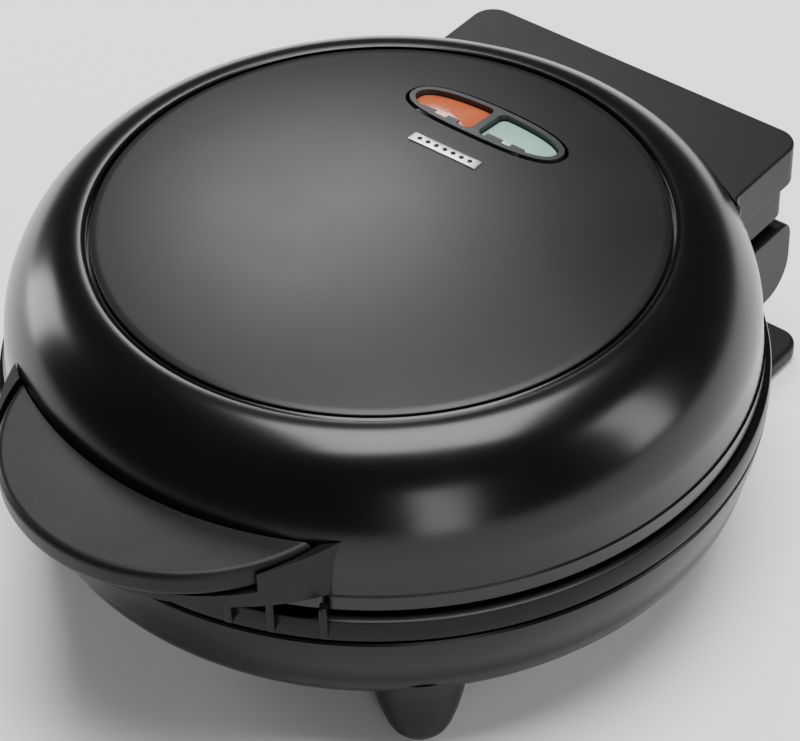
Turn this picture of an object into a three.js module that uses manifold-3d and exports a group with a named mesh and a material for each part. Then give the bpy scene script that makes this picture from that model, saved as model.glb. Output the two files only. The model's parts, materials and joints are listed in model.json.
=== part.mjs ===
// A round countertop donut maker: a domed lid hinged to a bowl-shaped base, each
// holding a cast cooking plate with seven ring moulds. Millimetres, +Z up, the
// handle towards -Y and the hinge towards +Y. Every size below is measured from
// the lid's own vertical axis; the finished group is then moved so that its box
// stands centred over the origin.
import * as THREE from 'three';
import { mergeVertices } from 'three/addons/utils/BufferGeometryUtils.js';
import Module from 'manifold-3d';

const wasm = await Module();
wasm.setup();

// ---- driving dimensions ----
const wall = 2.5; // moulded plastic wall
const touchGap = 0.3; // between pieces that rest on each other
const overcut = 1; // how far a cutting tool runs past the face it opens
const largeSteps = 40; // facets round the big turned pieces
const smallSteps = 12; // facets round screws, pins and bosses

// lid
const lidRadius = 110; // at its lower edge
const lidBottom = 64;
const lidWallHeight = 13.5;
const lidWallDraft = 1.3;
const shoulderHeight = 30.7;
const shoulderPower = 1.78; // superellipse exponent of the rounded shoulder
const shoulderSteps = 6;
const ridgeWidth = 1.4;
const ridgeHeight = 0.5;
const shoulderRun = 29; // from the panel's edge out to the lid's
const panelThickness = 1.5;
const panelRise = 7;
const panelGroove = 1.8; // open ring round the panel
const panelSteps = 3;

// indicator window and badge, both on the panel
const windowCentreY = 49;
const windowLength = 56;
const windowWidth = 19;
const windowSteps = 9; // facets in each quarter
const windowStretch = 0.35; // how pointed the oval's ends are
const windowFullness = 0.75; // how square its ends are
const bezelGroove = 1.2; // open line round the bezel
const bezelRim = 2;
const bezelBridge = 3;
const bezelDrop = 3;
const bezelProud = 0.6;
const lensThickness = 2;
const lensStep = 0.9; // lens face below the bezel's rim
const tabPlaces = [-17.5, -8.6, 6.4, 14.6]; // along X, the tabs that hold the lenses
const tabWidth = 4.8;
const tabReach = 2.2;
const badgeCentreY = 29.5;
const badgeLength = 24;
const badgeWidth = 4;
const badgeThickness = 0.6;

// neon lamps under the window
const lampRadius = 2.6;
const lampLength = 9;
const lampSpread = 13;
const lampClearance = 1; // to the lens above it
const holderHeight = 6;
const holderEnd = 6; // holder past the lamps' centres
const holderHalfDepth = 5;

// front handle
const capCentreInset = 29; // its arc's centre inside the lid's edge
const capRadius = 54;
const capTop = 86;
const capHeight = 8;
const capWall = 2.6;
const skirtCentreBehind = 10.6; // its arc's centre behind the cap's
const wingSpread = 7.6; // its arc's radius beyond the cap's
const skirtTipInset = 17.5;
const skirtTipBottom = 69.5;
const skirtRise = 6.5; // climb of its underside from the tips to the front
const wingRoot = 37; // from the middle to where the wings start to rise
const wingHalfSpan = 46; // to where they have left the cap
const wingLow = 84;
const wingHigh = 87.6;
const arcTipAngle = 10; // where both arcs stop, inside the lid's wall
const arcSteps = 24;
const wingGap = 1.3; // open line between cap and wing
const wingTail = 4; // wings run this far behind their tips
const handleScrewX = 20;
const handleScrewReach = 8; // beyond the lid's edge
const handleScrewProud = 0.5; // head below the skirt where it is driven in

// screws that reach out through the lid's and the bowl's walls
const wallScrewX = 32; // each side of the middle
const wallScrewLength = 9; // past the wall
const wallScrewRadius = 1.1;
const wallScrewHead = 2.6;
const wallScrewSteps = 8;
const pillarHalfWidth = 5; // of the block that each one bites into

// cooking plates
const plateGap = 1; // between the two closed plates
const plateInset = 6.5; // from the lid's lower edge to the plate's edge
const plateThickness = 3;
const plateBorder = 9.5;
const ringGap = 3; // metal between neighbouring moulds
const ringCount = 6; // moulds round the middle one
const ringDepth = 10.5; // half of a donut's thickness
const ringWall = 3;
const ringSteps = 12;
const ringArcSteps = 3; // facets across a mould's half section
const ringOutsideSteps = 3; // the same, on the plate's back
const plateBossRadius = 4.5;
const plateBossLength = 2; // past the moulds' backs
const plateScrewInset = 31.5; // from the plate's edge to its screws
const plateScrewCount = 3;

// heating elements and reflectors
const elementRadius = 3.2;
const elementInset = 45.5; // from the plate's edge to the element's centre line
const elementGapAngle = 16;
const elementTail = 20;
const elementSides = 8;
const reflectorClearance = 2.1; // element to the reflector's floor
const reflectorInset = 4;
const reflectorSheet = 0.8;
const reflectorSlope = 6; // bevel round the pan's floor

// base
const rimProud = 2; // base rim beyond the lid's lower edge
const seamGap = 2;
const rimBand = 7.5; // height of the rim above its shadow groove
const grooveDepth = 1.3;
const grooveWidth = 1.3;
const bandHeight = 16; // lower band below the groove
const bandTaper = 3.6;
const bandSwell = 1.1; // taper reached half-way down the band
const rimEdge = 0.8;
const bandEdge = 0.2;
const bowlBottom = 17;
const bowlCurveRun = 30; // how far in the bowl's flat bottom starts
const bowlSteps = 4;
const ribHalfAngles = [17.4, 23.4, 30.6];
const ribWidth = 2.2;
const ribProud = 2.8;
const ribTop = 68.6;
const ribBottom = 57.5;

// feet
const frontFootAngle = 44; // each side of straight ahead
const frontFootInset = 18; // from the lid's edge to a foot's centre
const footTopRadius = 17;
const footTipRadius = 7.5;
const footTopHeight = 33;
const padHeight = 1;
const padInset = 1.5;
const padPocket = 2;
const footSteps = 20;
const footBossTop = 27; // inside the bowl
const footScrewBite = 13;

// hinge
const hingeReach = 4; // hinge line beyond the lid's edge
const hingeHeight = 47;
const blockHalfWidth = 59.5;
const blockPastHinge = 14.4;
const blockCorner = 9;
const blockTop = 86;
const ledgeBottom = 61.5;
const ledgePastHinge = 8.5;
const ledgeHeight = 10.5;
const ledgeCorner = 5;
const ledgeInset = 1; // ledge's sides in from the block's
const rimClearance = 1.5; // lid ledge to base rim
const lugInner = 42;
const lugOuter = 51;
const lugRadius = 7.6;
const sideClearance = 1;
const pinRadius = 3;
const pinClearance = 0.3;
const pinHead = 2;
const pinHeadRadius = 4.6;
const earOuter = 59.5;
const earPastHinge = 11.5;
const earTop = 57;
const earBottom = 31;
const earTopCorner = 5.5;
const earBottomCorner = 12;
const pinBlindWall = 2.2; // ear thickness left outside the pin's end
const lugClearance = 2; // lug to the web in front of it

// rear housing, gland and stand
const housingHalfWidth = 40.5;
const housingPastHinge = 7.5;
const housingBottom = 24;
const housingCorner = 6;
const housingScrewHeight = 48;
const wirePortHalfWidth = 12; // way for the wires from bowl to housing
const wirePortLow = 32;
const wirePortHigh = 42;
const glandX = 20;
const glandHeight = 38;
const glandBore = 3.6;
const glandNeck = 5.6;
const glandFlange = 8;
const glandFlangeThickness = 2;
const terminalX = -7;
const terminalY = 60;
const terminalHoleRadius = 2;
const terminalHoles = [0.2, 0.5, 0.8]; // along its width
const terminalHoleFloor = 3;
const terminalWidth = 28;
const terminalDepth = 13;
const terminalHeight = 11;
const standHalfWidth = 63.4;
const standPastHinge = 17.6;
const standLength = 47.6;
const standThickness = 6;
const standCorner = 7;
const columnX = 30;
const columnRadius = 8;
const columnInset = 4; // column to the housing's rear face
const standScrewBoss = 12;
const standScrewBite = 8;
const standPadX = 46;
const standPadInset = 14;
const standPadRadius = 7;

// screws
const screwRadius = 1.8;
const screwHeadRadius = 3.6;
const screwHeadHeight = 2.4;
const screwClearance = 0.3;
const screwBossWall = 2.6;
const screwTip = 1.5; // empty bore past a screw's end
const screwBite = 11; // screw length inside the plate's boss
const driveSlotWidth = 1;
const driveSlotDepth = 0.9;

// thermostat and thermal fuse
const thermostatRadius = 8;
const thermostatTab = 6;
const thermostatTabThickness = 0.9;
const thermostatTabWidth = 5;
const fuseRadius = 2.4;
const fuseLength = 12;
const fuseLeadRadius = 0.7;
const fuseLeadLength = 34;
const leadSteps = 8;
const fuseX = -26;
const fuseY = -6;

// ---- sizes that follow ----
const panelRadius = lidRadius - shoulderRun;
const wallScrewAngle = THREE.MathUtils.radToDeg(Math.asin(wallScrewX / lidRadius));
const capCentreY = capCentreInset - lidRadius;
const skirtCentreY = capCentreY + skirtCentreBehind;
const skirtRadius = capRadius + wingSpread;
const skirtTipY = skirtTipInset - lidRadius;
const handleScrewY = -lidRadius - handleScrewReach;
const frontFootRadius = lidRadius - frontFootInset;
const hingeY = lidRadius + hingeReach;
const blockRear = hingeY + blockPastHinge;
const ledgeRear = hingeY + ledgePastHinge;
const earRear = hingeY + earPastHinge;
const housingRear = hingeY + housingPastHinge;
const standRear = hingeY + standPastHinge;
const standFront = standRear - standLength;
const plateBossDrop = ringDepth + ringWall + plateBossLength;
const reflectorDrop = ringDepth + ringWall + 2 * elementRadius + reflectorClearance;
// how far the middle of a facet lies inside its circle
const facetSag = (lidRadius + rimProud) * (1 - Math.cos(Math.PI / largeSteps));
const grooveRadius = panelRadius + panelGroove;
const shoulderStart = lidBottom + lidWallHeight;
const shoulderTop = shoulderStart + shoulderHeight;
const shoulderOuter = lidRadius - lidWallDraft;
const shoulderInner = grooveRadius + ridgeWidth;
const rimRadius = lidRadius + rimProud;
const rimTop = lidBottom - seamGap;
const plateRadius = lidRadius - plateInset;
const lipRadius = plateRadius + touchGap;
const upperFace = lidBottom - seamGap / 2 + plateGap / 2;
const lowerFace = upperFace - plateGap;
const ringOuter = (plateRadius - plateBorder - ringGap) / 3;
const ringPitch = 2 * ringOuter + ringGap;
const ringMiddle = ringOuter - ringDepth;
const plateScrewCircle = plateRadius - plateScrewInset;
const elementCircle = plateRadius - elementInset;
const reflectorRadius = plateRadius - reflectorInset;
const bossRadius = screwRadius + screwClearance + screwBossWall;
const standTop = padHeight + standThickness;
const skirtFrontY = skirtCentreY - skirtRadius;
const skirtSlope = skirtRise / (skirtTipY - skirtFrontY);
const frontReach = capRadius - capCentreY;
const rearReach = Math.max(standRear, blockRear);

const radians = THREE.MathUtils.degToRad;

// ---- solids ----

// Turns a three.js geometry into a closed solid whose faces point out.
function solidOf(geometry) {
  geometry.deleteAttribute('normal');
  geometry.deleteAttribute('uv');
  const merged = mergeVertices(geometry, 1e-4);
  const points = merged.attributes.position.array;
  const corners = merged.index.array;
  const kept = [];
  let volume = 0;
  const a = new THREE.Vector3();
  const b = new THREE.Vector3();
  const c = new THREE.Vector3();
  for (let i = 0; i < corners.length; i += 3) {
    const [i0, i1, i2] = corners.slice(i, i + 3);
    if (i0 === i1 || i1 === i2 || i2 === i0) continue;
    kept.push(i0, i1, i2);
    a.fromArray(points, 3 * i0);
    b.fromArray(points, 3 * i1);
    c.fromArray(points, 3 * i2);
    volume += a.dot(b.cross(c));
  }
  if (volume < 0) kept.reverse();
  const mesh = new wasm.Mesh({
    numProp: 3,
    vertProperties: Float32Array.from(points),
    triVerts: Uint32Array.from(kept),
  });
  return new wasm.Manifold(mesh);
}

function geometryOf(solid) {
  const mesh = solid.getMesh();
  const geometry = new THREE.BufferGeometry();
  geometry.setAttribute('position', new THREE.BufferAttribute(Float32Array.from(mesh.vertProperties), 3));
  geometry.setIndex(new THREE.BufferAttribute(Uint32Array.from(mesh.triVerts), 1));
  geometry.computeVertexNormals();
  return geometry;
}

const join = (first, ...others) => others.reduce((sum, next) => sum.add(next), first);
const cut = (first, ...tools) => tools.reduce((rest, tool) => rest.subtract(tool), first);

// A turned solid from [radius, height] points, about the vertical axis.
function turned(profile, steps = largeSteps) {
  const points = profile.map(([radius, height]) => new THREE.Vector2(radius, height));
  const geometry = new THREE.LatheGeometry(points, steps);
  geometry.rotateX(Math.PI / 2);
  return solidOf(geometry);
}

function box(x0, x1, y0, y1, z0, z1) {
  const geometry = new THREE.BoxGeometry(x1 - x0, y1 - y0, z1 - z0);
  geometry.translate((x0 + x1) / 2, (y0 + y1) / 2, (z0 + z1) / 2);
  return solidOf(geometry);
}

// An upright cylinder or cone between two heights.
function post(x, y, z0, z1, bottomRadius, topRadius = bottomRadius, steps = smallSteps) {
  const geometry = new THREE.CylinderGeometry(topRadius, bottomRadius, z1 - z0, steps);
  geometry.rotateX(Math.PI / 2);
  geometry.translate(x, y, (z0 + z1) / 2);
  return solidOf(geometry);
}

// A cylinder along X between two places.
function barX(x0, x1, y, z, radius, steps = smallSteps) {
  const geometry = new THREE.CylinderGeometry(radius, radius, x1 - x0, steps);
  geometry.rotateZ(Math.PI / 2);
  geometry.translate((x0 + x1) / 2, y, z);
  return solidOf(geometry);
}

// An upright prism of a plan outline.
function prism(shape, z0, z1, curveSteps = 6) {
  const options = { depth: z1 - z0, bevelEnabled: false, curveSegments: curveSteps };
  const geometry = new THREE.ExtrudeGeometry(shape, options);
  geometry.translate(0, 0, z0);
  return solidOf(geometry);
}

// A prism along X of an outline drawn in the YZ plane.
function prismX(shape, x0, x1, curveSteps = 6) {
  const options = { depth: x1 - x0, bevelEnabled: false, curveSegments: curveSteps };
  const geometry = new THREE.ExtrudeGeometry(shape, options);
  geometry.rotateX(Math.PI / 2);
  geometry.rotateZ(Math.PI / 2);
  geometry.translate(x0, 0, 0);
  return solidOf(geometry);
}

// A closed outline with each corner [a, b, radius] rounded, or left sharp at radius 0.
function roundedOutline(corners) {
  const shape = new THREE.Shape();
  corners.forEach(([a, b, radius], i) => {
    const corner = new THREE.Vector2(a, b);
    const before = new THREE.Vector2(...corners.at(i - 1).slice(0, 2));
    const after = new THREE.Vector2(...corners[(i + 1) % corners.length].slice(0, 2));
    const start = corner.clone().add(before.sub(corner).setLength(radius));
    const end = corner.clone().add(after.sub(corner).setLength(radius));
    if (i === 0) shape.moveTo(start.x, start.y);
    else shape.lineTo(start.x, start.y);
    if (radius > 0) shape.quadraticCurveTo(a, b, end.x, end.y);
  });
  shape.closePath();
  return shape;
}

const mirrored = (solid) => solid.mirror([1, 0, 0]);
const bothSides = (solid) => solid.add(mirrored(solid));

// ---- lid ----

// The lid's outer form: wall, rounded shoulder, ridge round the panel and dome.
// A positive inset shrinks it by that much, a negative one grows it.
function lidForm(inset, bottom) {
  const profile = [[0, bottom], [lidRadius - inset, bottom], [shoulderOuter - inset, shoulderStart]];
  for (let i = 1; i <= shoulderSteps; i += 1) {
    const turn = (i / shoulderSteps) * (Math.PI / 2);
    const across = Math.max(Math.cos(turn), 0) ** (2 / shoulderPower);
    const up = Math.sin(turn) ** (2 / shoulderPower);
    const reach = shoulderOuter - inset - shoulderInner;
    profile.push([shoulderInner + reach * across, shoulderStart + (shoulderHeight - inset) * up]);
  }
  return profile;
}

// Height of the panel's top face at a distance from the axis.
function panelHeight(radius) {
  return shoulderTop + panelRise * (1 - (radius / grooveRadius) ** 2);
}

// Points along the dome from an outer radius in to the axis, lowered by a drop.
function domeProfile(outerRadius, drop) {
  const points = [];
  for (let i = 0; i <= panelSteps; i += 1) {
    const radius = outerRadius * (1 - i / panelSteps);
    points.push([radius, panelHeight(radius) - drop]);
  }
  return points;
}

function blockOutline(halfWidth, rear, corner) {
  return roundedOutline([[-halfWidth, 0, 0], [halfWidth, 0, 0], [halfWidth, rear, corner],
    [-halfWidth, rear, corner]]);
}

// The block's upper part or its ledge, drawn in by an inset, between two heights.
const blockPrism = (inset, z0, z1) => prism(
  blockOutline(blockHalfWidth - inset, blockRear - inset, blockCorner - inset), z0, z1);
const ledgePrism = (inset, z0, z1) => prism(
  blockOutline(blockHalfWidth - ledgeInset - inset, ledgeRear - inset, ledgeCorner - inset), z0, z1);

// A square pillar at one side's wall screw, behind the axis.
function screwPillar(side, y0, y1, z0, z1) {
  const pillar = box(wallScrewX - pillarHalfWidth, wallScrewX + pillarHalfWidth, y0, y1, z0, z1);
  return side < 0 ? mirrored(pillar) : pillar;
}

// The flat-topped block behind the lid, with a stepped ledge and two lugs under it.
function hingeBlock() {
  const outside = join(blockPrism(0, ledgeTop, blockTop), ledgePrism(0, ledgeBottom, ledgeTop));
  const roomAbove = cut(blockPrism(wall, ledgeTop - wall, blockTop - wall),
    box(-blockHalfWidth, blockHalfWidth, ledgeRear - wall, blockRear, 0, ledgeTop + wall));
  const room = join(roomAbove, ledgePrism(wall, lidBottom + wall, ledgeTop));
  const lug = hingeLug();
  const pillarTop = lidScrewHeight + pillarHalfWidth;
  const pillars = [-1, 1].map((side) => screwPillar(side, 0, hingeY, lidBottom, pillarTop));
  const rimRoom = post(0, 0, 0, lidBottom, rimRadius + rimClearance, rimRadius + rimClearance, largeSteps);
  const block = join(cut(outside, room), bothSides(lug.arm), ...pillars);
  return cut(block, bothSides(lug.bore), lidClear(), rimRoom, ...blockScrewAngles.map(lidScrewBore));
}

// A lug that hangs from the block and turns on the hinge pin.
function hingeLug() {
  const arm = box(lugInner, lugOuter, hingeY - lugRadius, hingeY + lugRadius, hingeHeight, lidBottom);
  const eye = barX(lugInner, lugOuter, hingeY, hingeHeight, lugRadius);
  const bore = barX(lugInner - overcut, lugOuter + overcut, hingeY, hingeHeight, pinRadius + pinClearance);
  return { arm: join(arm, eye), bore };
}

// Places round the axis where a plate is screwed down.
function plateScrewPlaces() {
  const places = [];
  for (let i = 0; i < plateScrewCount; i += 1) {
    const turn = (i / plateScrewCount) * 2 * Math.PI;
    places.push([plateScrewCircle * Math.cos(turn), plateScrewCircle * Math.sin(turn)]);
  }
  return places;
}

const upperBossEnd = upperFace + plateBossDrop;
const lowerBossEnd = lowerFace - plateBossDrop;
const recessDrop = panelThickness + touchGap;
const screwSeat = panelHeight(plateScrewCircle) - recessDrop - screwHeadHeight - overcut;
const ledgeTop = ledgeBottom + ledgeHeight;
const skirtScrewAngles = [-wallScrewAngle, wallScrewAngle];
const blockScrewAngles = [180 + wallScrewAngle, 180 - wallScrewAngle];

function lidShell() {
  const outer = turned([
    ...lidForm(0, lidBottom),
    [shoulderInner - ridgeWidth / 3, shoulderTop + ridgeHeight],
    [grooveRadius, shoulderTop],
    ...domeProfile(grooveRadius, recessDrop),
  ]);
  const inner = turned([
    [0, lidBottom + wall],
    ...lidForm(wall, lidBottom + wall).slice(1, -2),
    ...domeProfile(grooveRadius - wall, recessDrop + wall),
  ]);
  const plateOpening = post(0, 0, 0, lidBottom + 2 * wall, lipRadius, lipRadius, largeSteps);
  let shell = cut(outer, inner, plateOpening);
  for (const [x, y] of plateScrewPlaces()) {
    const roof = panelHeight(plateScrewCircle) - recessDrop;
    const sleeve = post(x, y, upperBossEnd + touchGap, roof - wall / 2, bossRadius);
    const bore = post(x, y, 0, roof, screwRadius + screwClearance);
    const sink = post(x, y, screwSeat, roof + wall, screwHeadRadius + screwClearance);
    shell = cut(join(shell, sleeve), bore, sink);
  }
  const window = windowPrism(touchGap - bezelGroove, shoulderTop - wall, shoulderTop + panelRise);
  return cut(shell, window, ...[...skirtScrewAngles, ...blockScrewAngles].map(lidScrewBore));
}

// ---- panel, window and badge ----

// The oval window, grown by a margin all round.
function windowOutline(grow) {
  const halfLength = windowLength / 2 + grow;
  const halfWidth = windowWidth / 2 + grow;
  const bend = halfLength * (1 - windowStretch);
  const shape = new THREE.Shape();
  const pull = halfWidth * windowFullness;
  shape.moveTo(-halfLength, 0);
  shape.bezierCurveTo(-halfLength, pull, -bend, halfWidth, 0, halfWidth);
  shape.bezierCurveTo(bend, halfWidth, halfLength, pull, halfLength, 0);
  shape.bezierCurveTo(halfLength, -pull, bend, -halfWidth, 0, -halfWidth);
  shape.bezierCurveTo(-bend, -halfWidth, -halfLength, -pull, -halfLength, 0);
  return shape;
}

function windowPrism(grow, z0, z1) {
  return prism(windowOutline(grow), z0, z1, windowSteps).translate([0, windowCentreY, 0]);
}

// Height of the bezel's rim where it is lowest.
const bezelLow = panelHeight(windowCentreY + windowWidth / 2) + bezelProud;

function domedPlate(outerRadius, topDrop, bottomDrop) {
  return turned([...domeProfile(outerRadius, topDrop), ...domeProfile(outerRadius, bottomDrop).reverse(),
    [outerRadius, panelHeight(outerRadius) - topDrop]]);
}

function topPanel() {
  const disc = domedPlate(panelRadius, 0, panelThickness);
  const badgeSeat = badgeBlock(touchGap, badgeThickness / 2 + touchGap);
  return cut(disc, windowPrism(0, 0, 2 * shoulderTop), badgeSeat);
}

function badgeBlock(grow, drop) {
  const halfLength = badgeLength / 2 + grow;
  const halfWidth = badgeWidth / 2 + grow;
  const front = badgeCentreY - halfWidth;
  const stamp = box(-halfLength, halfLength, front, front + 2 * halfWidth, 0, 2 * shoulderTop);
  return stamp.intersect(domedPlate(panelRadius, -badgeThickness, drop));
}

function badge() {
  return badgeBlock(0, badgeThickness / 2);
}

// A tall prism of one lens, which fills half of the bezel beside its bridge.
function lensPrism(grow, side) {
  const whole = windowPrism(grow - bezelGroove - bezelRim, 0, 2 * shoulderTop);
  const front = windowCentreY - windowWidth;
  const room = box(bezelBridge / 2 - grow, windowLength, front, front + 2 * windowWidth, 0, 2 * shoulderTop);
  return whole.intersect(side < 0 ? mirrored(room) : room);
}

// A tab over a lens's front edge, as a tall box.
function tabBlock(x) {
  const halfWidth = windowWidth / 2 - bezelGroove - bezelRim;
  const halfLength = windowLength / 2 - bezelGroove - bezelRim;
  const edge = windowCentreY - halfWidth * Math.sqrt(1 - (x / halfLength) ** 2);
  return box(x - tabWidth / 2, x + tabWidth / 2, edge - bezelRim / 2, edge + tabReach, 0, 2 * shoulderTop);
}

// The bezel follows the dome, and so do the lenses in it.
function bezel() {
  const oval = windowPrism(-bezelGroove, 0, 2 * shoulderTop);
  const rim = cut(oval, lensPrism(touchGap, -1), lensPrism(touchGap, 1));
  const body = rim.intersect(domedPlate(panelRadius, -bezelProud, bezelDrop - bezelProud));
  const tabLayer = domedPlate(panelRadius, -bezelProud, lensStep - bezelProud - touchGap);
  return join(body, ...tabPlaces.map((x) => tabBlock(x).intersect(tabLayer)));
}

function lens(side) {
  const drop = lensStep - bezelProud;
  return lensPrism(0, side).intersect(domedPlate(panelRadius, drop, drop + lensThickness));
}

const lampTop = bezelLow - lensStep - lensThickness - lampClearance;

function lamp(side) {
  return post(side * lampSpread, windowCentreY, lampTop - lampLength, lampTop, lampRadius);
}

function lampHolder() {
  const top = lampTop - lampLength / 2;
  const bottom = top - holderHeight;
  const end = lampSpread + holderEnd;
  const bar = box(-end, end, windowCentreY - holderHalfDepth, windowCentreY + holderHalfDepth, bottom, top);
  const socket = post(lampSpread, windowCentreY, bottom - overcut, top + overcut, lampRadius + touchGap);
  return cut(bar, bothSides(socket));
}

// ---- handle ----

// A plan outline: an arc swelling towards -Y, closed by a line through the axis.
function arcOutline(centreY, radius, tipAngle) {
  const end = -radians(tipAngle);
  const halfWidth = radius * Math.cos(end);
  const shape = new THREE.Shape();
  shape.moveTo(-halfWidth, 0);
  shape.absarc(0, centreY, radius, -Math.PI - end, end, false);
  shape.lineTo(halfWidth, 0);
  shape.closePath();
  return shape;
}

// The space that the lid's outside fills, with the touching gap round it.
function lidClear() {
  const form = lidForm(-touchGap, lidBottom).slice(1);
  return turned([[0, 0], [lidRadius + touchGap, 0], ...form, [0, shoulderTop + touchGap]]);
}

function capFootprint(grow, z0, z1) {
  return prism(arcOutline(capCentreY, capRadius + grow, arcTipAngle), z0, z1, arcSteps);
}

function handleScrewTool(radius, z0, z1) {
  return bothSides(post(handleScrewX, handleScrewY, z0, z1, radius));
}

function handleCap() {
  const bottom = capTop - capHeight;
  const body = capFootprint(0, bottom, capTop);
  const roof = capTop - wall;
  const hollow = cut(
    capFootprint(-capWall, bottom - overcut, roof),
    post(0, 0, 0, capTop, lidRadius + capWall, lidRadius + capWall, largeSteps),
    handleScrewTool(bossRadius, 0, capTop),
  );
  const pilot = handleScrewTool(screwRadius + screwClearance, 0, roof - overcut + touchGap);
  return cut(body, hollow, lidClear(), pilot);
}

// Height of the skirt's sloping underside at a place along Y.
function skirtBottom(y) {
  return skirtTipBottom + (skirtTipY - y) * skirtSlope;
}

function skirtWedge() {
  const rear = skirtTipY + lidRadius;
  const front = skirtFrontY - overcut;
  const side = roundedOutline([[rear, skirtBottom(rear), 0], [rear, wingHigh, 0],
    [front, wingHigh, 0], [front, skirtBottom(front), 0]]);
  return prismX(side, -skirtRadius, skirtRadius);
}

function handleSkirt() {
  const plan = prism(arcOutline(skirtCentreY, skirtRadius, arcTipAngle), skirtTipBottom, wingHigh, arcSteps);
  const seam = capTop - capHeight - touchGap;
  const front = roundedOutline([[-skirtRadius, wingHigh, 0], [-wingHalfSpan, wingLow, 0], [-wingRoot, seam, 0],
    [wingRoot, seam, 0], [wingHalfSpan, wingLow, 0], [skirtRadius, wingHigh, 0],
    [skirtRadius, 0, 0], [-skirtRadius, 0, 0]]);
  const frontPrism = new THREE.ExtrudeGeometry(front, { depth: 2 * lidRadius, bevelEnabled: false });
  frontPrism.rotateX(Math.PI / 2);
  const capRoom = capFootprint(wingGap, seam, wingHigh + overcut);
  const behindTips = box(-lidRadius, lidRadius, skirtTipY + wingTail, lidRadius, 0, shoulderTop);
  let skirt = plan.intersect(skirtWedge()).intersect(solidOf(frontPrism));
  skirt = cut(skirt, capRoom, lidClear(), behindTips);
  skirt = cut(skirt, handleScrewTool(screwRadius + screwClearance, 0, capTop));
  const seat = handleScrewHead + screwHeadHeight + touchGap;
  skirt = cut(skirt, handleScrewTool(screwHeadRadius + screwClearance, 0, seat));
  return cut(skirt, ...skirtScrewAngles.map(lidScrewBore));
}

const handleScrewHead = skirtBottom(handleScrewY) - handleScrewProud;

// ---- screws through the walls ----

const lidScrewHeight = (skirtBottom(-lidRadius) + capTop - capHeight + wall / 3) / 2;

// A cylinder pointing out from the axis, turned from straight ahead by an angle.
function outwardBar(radius, from, to, height, angle) {
  const bar = post(0, 0, from, to, radius, radius, wallScrewSteps).rotate([90, 0, 0]);
  return bar.translate([0, 0, height]).rotate([0, 0, angle]);
}

function wallScrewBore(outside, height, angle) {
  const reach = outside + wallScrewLength + touchGap;
  return outwardBar(wallScrewRadius + screwClearance, outside - 3 * wall, reach, height, angle);
}

// A screw with its head inside a wall whose inner face is at a given radius.
function wallScrew(outside, inside, height, angle) {
  const seat = inside - touchGap - facetSag;
  const tip = outside + wallScrewLength;
  const shank = outwardBar(wallScrewRadius, seat - screwHeadHeight / 2, tip, height, angle);
  return join(shank, outwardBar(wallScrewHead, seat - screwHeadHeight, seat, height, angle));
}

const lidScrewBore = (angle) => wallScrewBore(lidRadius, lidScrewHeight, angle);
const lidScrew = (angle) => wallScrew(lidRadius, shoulderOuter - wall, lidScrewHeight, angle);
const baseScrewBore = (angle) => wallScrewBore(bandRadius, housingScrewHeight, angle);
const baseScrew = (angle) => wallScrew(bandRadius, bandRadius - wall, housingScrewHeight, angle);

// ---- screws ----

// A slotted screw standing with its head at the bottom, then turned over if it points down.
function screw(x, y, headEnd, tip, pointsDown = false) {
  const length = Math.abs(tip - headEnd);
  const body = join(
    post(0, 0, 0, screwHeadHeight, screwHeadRadius),
    post(0, 0, screwHeadHeight / 2, length, screwRadius),
  );
  const half = screwHeadRadius + overcut;
  const slot = box(-half, half, -driveSlotWidth / 2, driveSlotWidth / 2, -overcut, driveSlotDepth);
  const upright = cut(body, slot);
  return (pointsDown ? upright.rotate([180, 0, 0]) : upright).translate([x, y, headEnd]);
}

function handleScrew(side) {
  return screw(side * handleScrewX, handleScrewY, handleScrewHead, capTop - wall - overcut - screwTip);
}

// ---- cooking plates ----

// Mould centres: the middle one, then the ring round it.
function mouldPlaces() {
  const places = [[0, 0]];
  for (let i = 0; i < ringCount; i += 1) {
    const turn = ((i + 0.5) / ringCount) * 2 * Math.PI;
    places.push([ringPitch * Math.cos(turn), ringPitch * Math.sin(turn)]);
  }
  return places;
}

// A ring about height zero, as one section turned round a mould's middle.
function mouldRing(sectionRadius, steps) {
  const profile = [];
  for (let i = 0; i <= steps; i += 1) {
    const turn = (i / steps) * 2 * Math.PI;
    profile.push([ringMiddle + sectionRadius * Math.cos(turn), -sectionRadius * Math.sin(turn)]);
  }
  return turned(profile, ringSteps);
}

// A plate lying face up with its face at height zero.
function cookingPlate() {
  let plate = turned([[0, 0], [plateRadius, 0], [plateRadius, -plateThickness], [0, -plateThickness]]);
  const reach = plateRadius;
  const belowFace = box(-reach, reach, -reach, reach, -plateBossDrop, -plateThickness / 2);
  const mould = mouldRing(ringDepth + ringWall, 2 * ringOutsideSteps).intersect(belowFace);
  const hollow = mouldRing(ringDepth, 2 * ringArcSteps);
  for (const [x, y] of mouldPlaces()) {
    plate = plate.add(mould.translate([x, y, 0]));
  }
  for (const [x, y] of plateScrewPlaces()) {
    plate = plate.add(post(x, y, -plateBossDrop, -plateThickness / 2, plateBossRadius));
  }
  for (const [x, y] of mouldPlaces()) {
    plate = plate.subtract(hollow.translate([x, y, 0]));
  }
  for (const [x, y] of plateScrewPlaces()) {
    const boreTop = screwBite + screwTip - plateBossDrop;
    plate = cut(plate, post(x, y, -plateBossDrop - overcut, boreTop, screwRadius + screwClearance));
  }
  return plate;
}

// The lower plate's parts, turned over about X to hang in the lid.
const turnedOver = (solid) => solid.rotate([180, 0, 0]);
const lowered = (solid) => solid.translate([0, 0, lowerFace]);
const raised = (solid) => turnedOver(solid).translate([0, 0, upperFace]);

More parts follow.
